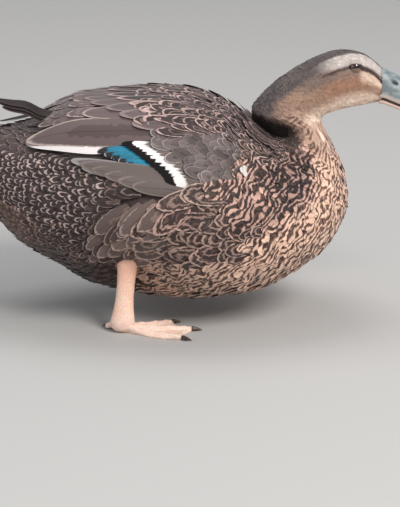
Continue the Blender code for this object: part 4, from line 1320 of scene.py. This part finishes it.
def lid_ring(side):
    """Points, quads and colours of the lids: one ring of skin round the opening.

    On each ray from the middle of the opening the skin keeps to the head's surface, and
    rises over the globe wherever that stands higher: height = larger of the two.
    """
    place_t, place_a = EYE_PLACE[0], EYE_PLACE[1] * side
    _, by_t, by_a, normal = body_frame(np.array([place_t]), np.array([place_a]))
    out = normal[0]
    ahead = unit(unit(by_t[0]) * 0.99 - 0.10 * UPWARD)
    above = np.cross(out, ahead)
    above *= np.sign(above[2])
    spin = round_angles(64)[None, :]
    share = np.concatenate([[-0.10, -0.06, 0.0], np.linspace(0.04, 1, 22)])[:, None]
    high = np.where(np.sin(spin) > 0, OPENING[1], OPENING[2])
    inner = np.stack([OPENING[0] * np.cos(spin), high * np.sin(spin)], -1)
    outer = np.stack([LID_EDGE[0] * np.cos(spin), LID_EDGE[1] * np.sin(spin)], -1)
    flat = inner + (outer - inner) * np.maximum(share, 0)[..., None]
    steps = solve_way(by_t, by_a, ahead * flat[..., :1] + above * flat[..., 1:])
    t, a = place_t + steps[..., 0], place_a + steps[..., 1]
    base = coat_point(t, a, np.full(t.shape, -LID_SINK))
    off = base - np.array([EYE_MIDDLE[0], -side * EYE_OUT, EYE_MIDDLE[1]])
    height = off @ out
    reach = LID_RADIUS ** 2 - np.sum((off - height[..., None] * out) ** 2, -1)
    dome = np.sqrt(np.maximum(reach, 0)) - 2.0 * step(reach, 4.0, -2.0)
    rise = np.maximum(dome - height, 0) + 0.25 * np.exp(-(share / 0.07) ** 2)
    fold = -0.22 * np.exp(-((share - 0.42) / 0.05) ** 2) * (np.sin(spin) > -0.2)
    points = base + out * (rise + fold + 5.5 * np.minimum(share, 0))[..., None]
    n, m = t.shape
    points, sample = points.reshape(-1, 3), m * 12
    rim = np.broadcast_to(step(share, 0.13, 0.03), t.shape).ravel()
    colour = mix(markings(t.ravel(), a.ravel())[0], tone(70, 54, 48), np.full(n * m, 0.15))
    colour = mix(colour, tone(34, 25, 23), 0.8 * rim)
    return points, turned_out(points, grid_quads(n, m, True), sample, out), colour


eye_paint, tree, shader = new_material("eye_wet", Roughness=0.12, Coat_Weight=1.0,
                                       Coat_Roughness=0.03)
flecks = noise(tree, 1400.0, 4.0).scaled(0.0006, -0.0003)
radius = axes(attribute(tree, "axis", "Vector"))[0] + flecks
iris = blend(ramp(radius, *IRIS), tone(74, 44, 26), tone(30, 18, 13))
paint(shader, blend(ramp(radius, PUPIL - 0.0001, PUPIL + 0.0001), tone(6, 5, 5), iris))

lid_paint, tree, shader = new_material("lid_skin", Roughness=0.6)
fine = noise(tree, 1500.0, 4.0, (1.0, 1.0, 2.2))
lid_tone = blend(ramp(fine, 0.35, 0.65) * 0.35, attribute(tree, "ground"), tone(30, 22, 20))
paint(shader, lid_tone, fine, 0.5, 0.0002)

for word, side, _ in FEET:
    points, quads, off_axis = eye_globe(side)
    globe = new_piece("globe_" + word, points, quads, (eye_paint,), "eye",
                      vectors=[("axis", off_axis)], weld=True)
    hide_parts("eye_" + word)
    points, quads, colour = lid_ring(side)
    new_piece("lids_" + word, points, quads, (lid_paint,), "feathers", colours=[("ground", colour)])

# Bill: a broad low bill in two halves. The upper one is a horny vault with nostrils, a lip
# along its edge and a nail at the tip; the lower one is a shallow tray that shuts into it.
BILL_FROM = 157.65
BILL_LENGTH = 50.0
CULMEN = (193.3, 190.4, 187.3, 183.5, 178.6, 172.8, 167, 162, 157.2)
TOMIUM = (172.4, 170.2, 167.6, 165.2, 163, 160.9, 158.8, 156.8, 154.6)
BILL_HALF = (10.6, 10.8, 10.7, 10.7, 11.2, 12, 12.6, 11.4, 4.5)
LOWER_SHARE = 0.93
LOWER_DEPTH = 7.0
NOSTRIL = (0.19, 47.0)               # share of the bill's length, angle up its side
NOSTRIL_SIZE = (0.045, 6.0)
NOSTRIL_DEPTH = 1.7
NAIL_HIGH = 0.45


def upper_bill():
    """Rings and marks of the upper half, its tip rounded off; the marks are painted shade inside
    the nostrils, the lip and the nail.

    Height = tomium + (culmen - tomium) * sin(angle) ** 0.9, width as a power of
    cos(angle); the nostrils are pressed in, lip and nail raised.
    """
    a = np.concatenate([np.linspace(-0.05, 0.9, 76), np.linspace(0.907, 1, 16)])[:, None]
    angle = np.linspace(0, 360, 97)[None, :-1]
    over, ahead = np.sin(np.radians(angle)), np.cos(np.radians(angle))
    q = np.clip(a, 0, 1)
    tom, top, half = curve(TOMIUM, q), curve(CULMEN, q), curve(BILL_HALF, q)
    z = tom + (top - tom) * np.clip(over, 0, 1) ** 0.9 - np.clip(-over, 0, 1) * 0.9 * ahead ** 2
    y = half * np.sign(ahead) * np.abs(ahead) ** (0.72 + 0.1 * q)
    up = np.minimum(angle, 180 - angle)
    away = ((a - NOSTRIL[0]) / NOSTRIL_SIZE[0]) ** 2 + ((up - NOSTRIL[1]) / NOSTRIL_SIZE[1]) ** 2
    around = ((a - NOSTRIL[0] - 0.02) / 0.10) ** 2 + ((up - NOSTRIL[1]) / 17.0) ** 2
    inward = NOSTRIL_DEPTH * np.exp(-away ** 2) + 0.45 * np.exp(-around ** 2)
    groove = 0.35 * np.exp(-((up - 9.0) / 3.0) ** 2) * hill(a, 0.0, 0.1, 0.85, 0.97)
    lip = 0.35 * np.exp(-((up - 2.5) / 3.5) ** 2)
    nail = step(a, 0.885, 0.905) * step(np.abs(angle - 90), 44, 36)
    out = np.where(over > -0.02, NAIL_HIGH * nail + lip - inward - groove, 0.0)
    x = BILL_FROM + BILL_LENGTH * a + 0 * out
    rings = np.stack([x, y + out * ahead, z + out * np.clip(over, 0, 1)], -1)
    # painted shade inside the pressed-in nostrils, darkest at their middle
    shade = np.clip(1.15 * np.exp(-away ** 2), 0, 1)
    edge = step(up, 9, 3) * (over > -0.02) + 0 * a
    return rings, np.stack([shade, edge, nail], -1)


def lower_bill():
    """Lower half: a tray under the tomium, deepest at its root, depth falling as a ** 2."""
    a = np.linspace(-0.05, 1, 60)[:, None]
    angle = np.linspace(0, 360, 65)[None, :-1]
    over, ahead = np.sin(np.radians(angle)), np.cos(np.radians(angle))
    q = np.clip(a, 0, 1)
    depth = LOWER_DEPTH * (1 - 0.75 * q ** 2)
    y = curve(BILL_HALF, q * LOWER_SHARE) * 0.86 * ahead
    z = (curve(TOMIUM, q * LOWER_SHARE) - 0.3
         - depth * 0.5 * (1 - over) * (0.75 + 0.25 * ahead ** 2)
         + 0.4 * np.exp(-((np.abs(angle - 270) - 26) / 6) ** 2) * step(a, 0.9, 0.6))
    x = BILL_FROM + BILL_LENGTH * LOWER_SHARE * a + 0 * over
    edge = step(over, 0.2, 0.6) + 0 * a
    return np.stack([x, y, z], -1), np.stack([0 * edge, edge, 0 * edge], -1)


def bill_material(name, base, top_tone, lip_tone, dark):
    """Horny bill skin: mottled from base to a paler tone, its own lip and nail, and painted shade
    in the nostril hollows.
    """
    material, tree, shader = new_material(name)
    hollow, lip, nail = axes(attribute(tree, "wear", "Vector"))
    mottle = ramp(noise(tree, 240.0, 5.0, (0.6, 1.0, 1.0)), 0.38, 0.66)
    specks = ramp(noise(tree, 800.0, 3.0), 0.62, 0.72)
    colour = blend(specks * 0.30, blend(mottle, base, top_tone), dark)
    colour = blend(nail * 0.55, blend(lip * 0.8, colour, lip_tone), dark)
    grain = noise(tree, 1100.0, 4.0, (0.5, 1.0, 1.0))
    # the first channel turns the colour near black: painted shade in the nostrils
    paint(shader, blend(hollow, colour, tone(26, 27, 28)), grain, 0.18, 0.0002)
    feed(shader.inputs["Roughness"], mottle.scaled(0.12, 0.36))
    return material


upper_paint = bill_material("bill_upper_horn", tone(108, 118, 121), tone(142, 151, 151),
                            tone(196, 172, 160), tone(84, 84, 84))
lower_paint = bill_material("bill_lower_horn", tone(198, 164, 150), tone(210, 180, 168),
                            tone(112, 84, 72), tone(110, 86, 76))
for shape, name, material, node in ((upper_bill, "bill_vault", upper_paint, "bill_upper"),
                                    (lower_bill, "bill_tray", lower_paint, "bill_lower")):
    rings, wear = shape()
    wear = np.concatenate([wear[:1], wear, wear[-1:]]).reshape(-1, 3)
    piece = new_piece(name, *close_tube(rings), (material,), "bill", vectors=[("wear", wear)],
                      weld=True)
    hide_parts(node)

# Claws: short blunt dark nails at the ends of the toes, set in the skin of each tip.
# The hind one is smaller, since its toe is short and raised.
CLAW_LENGTH = 7.0
claw_paint, tree, shader = new_material("claw_horn", Roughness=0.38)
streak = noise(tree, 500.0, 3.0, (0.4, 1.0, 1.0))
paint(shader, blend(ramp(streak, 0.35, 0.7), tone(52, 42, 36), tone(98, 80, 66)),
      streak, 0.2, 0.0002)


def claw_rings(root, at, side, reach, size, radius, high):
    """Curved cone: radius = base * (1 - 0.85 * share ** 1.3), falling 1.1 mm to its point."""
    way, flat = floor_ways(at, side)
    share = np.concatenate([[-0.15], np.linspace(0, 1, 13)])[:, None, None]
    spin = round_angles(16)[None, :, None]
    rise = high - 1.1 * share ** 2
    thick = radius * (1 - 0.85 * np.clip(share, 0, 1) ** 1.3)
    return (root + way * (reach + size * share) + flat * thick * 0.85 * np.cos(spin)
            + UPWARD * (rise + np.minimum(thick, rise) * np.sin(spin)))


for word, side, x0 in FEET:
    ankle = np.array([x0, -side * LEG_Y, 0.0])
    claws = [(toe, ankle, at, side, reach + 0.3, CLAW_LENGTH, 1.9, 2.2) for toe, at, reach in TOES]
    claws.append(("hind", hind_root(side, x0, 0.0), HIND_AT, side, HIND_TOE + 0.6,
                  0.6 * CLAW_LENGTH, 1.3, 2.9))
    for toe, *sizes in claws:
        nail = new_piece("nail_%s_%s" % (toe, word), *close_tube(claw_rings(*sizes)),
                         (claw_paint,), "claw", weld=True)
        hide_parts("claw_%s_%s" % (toe, word))
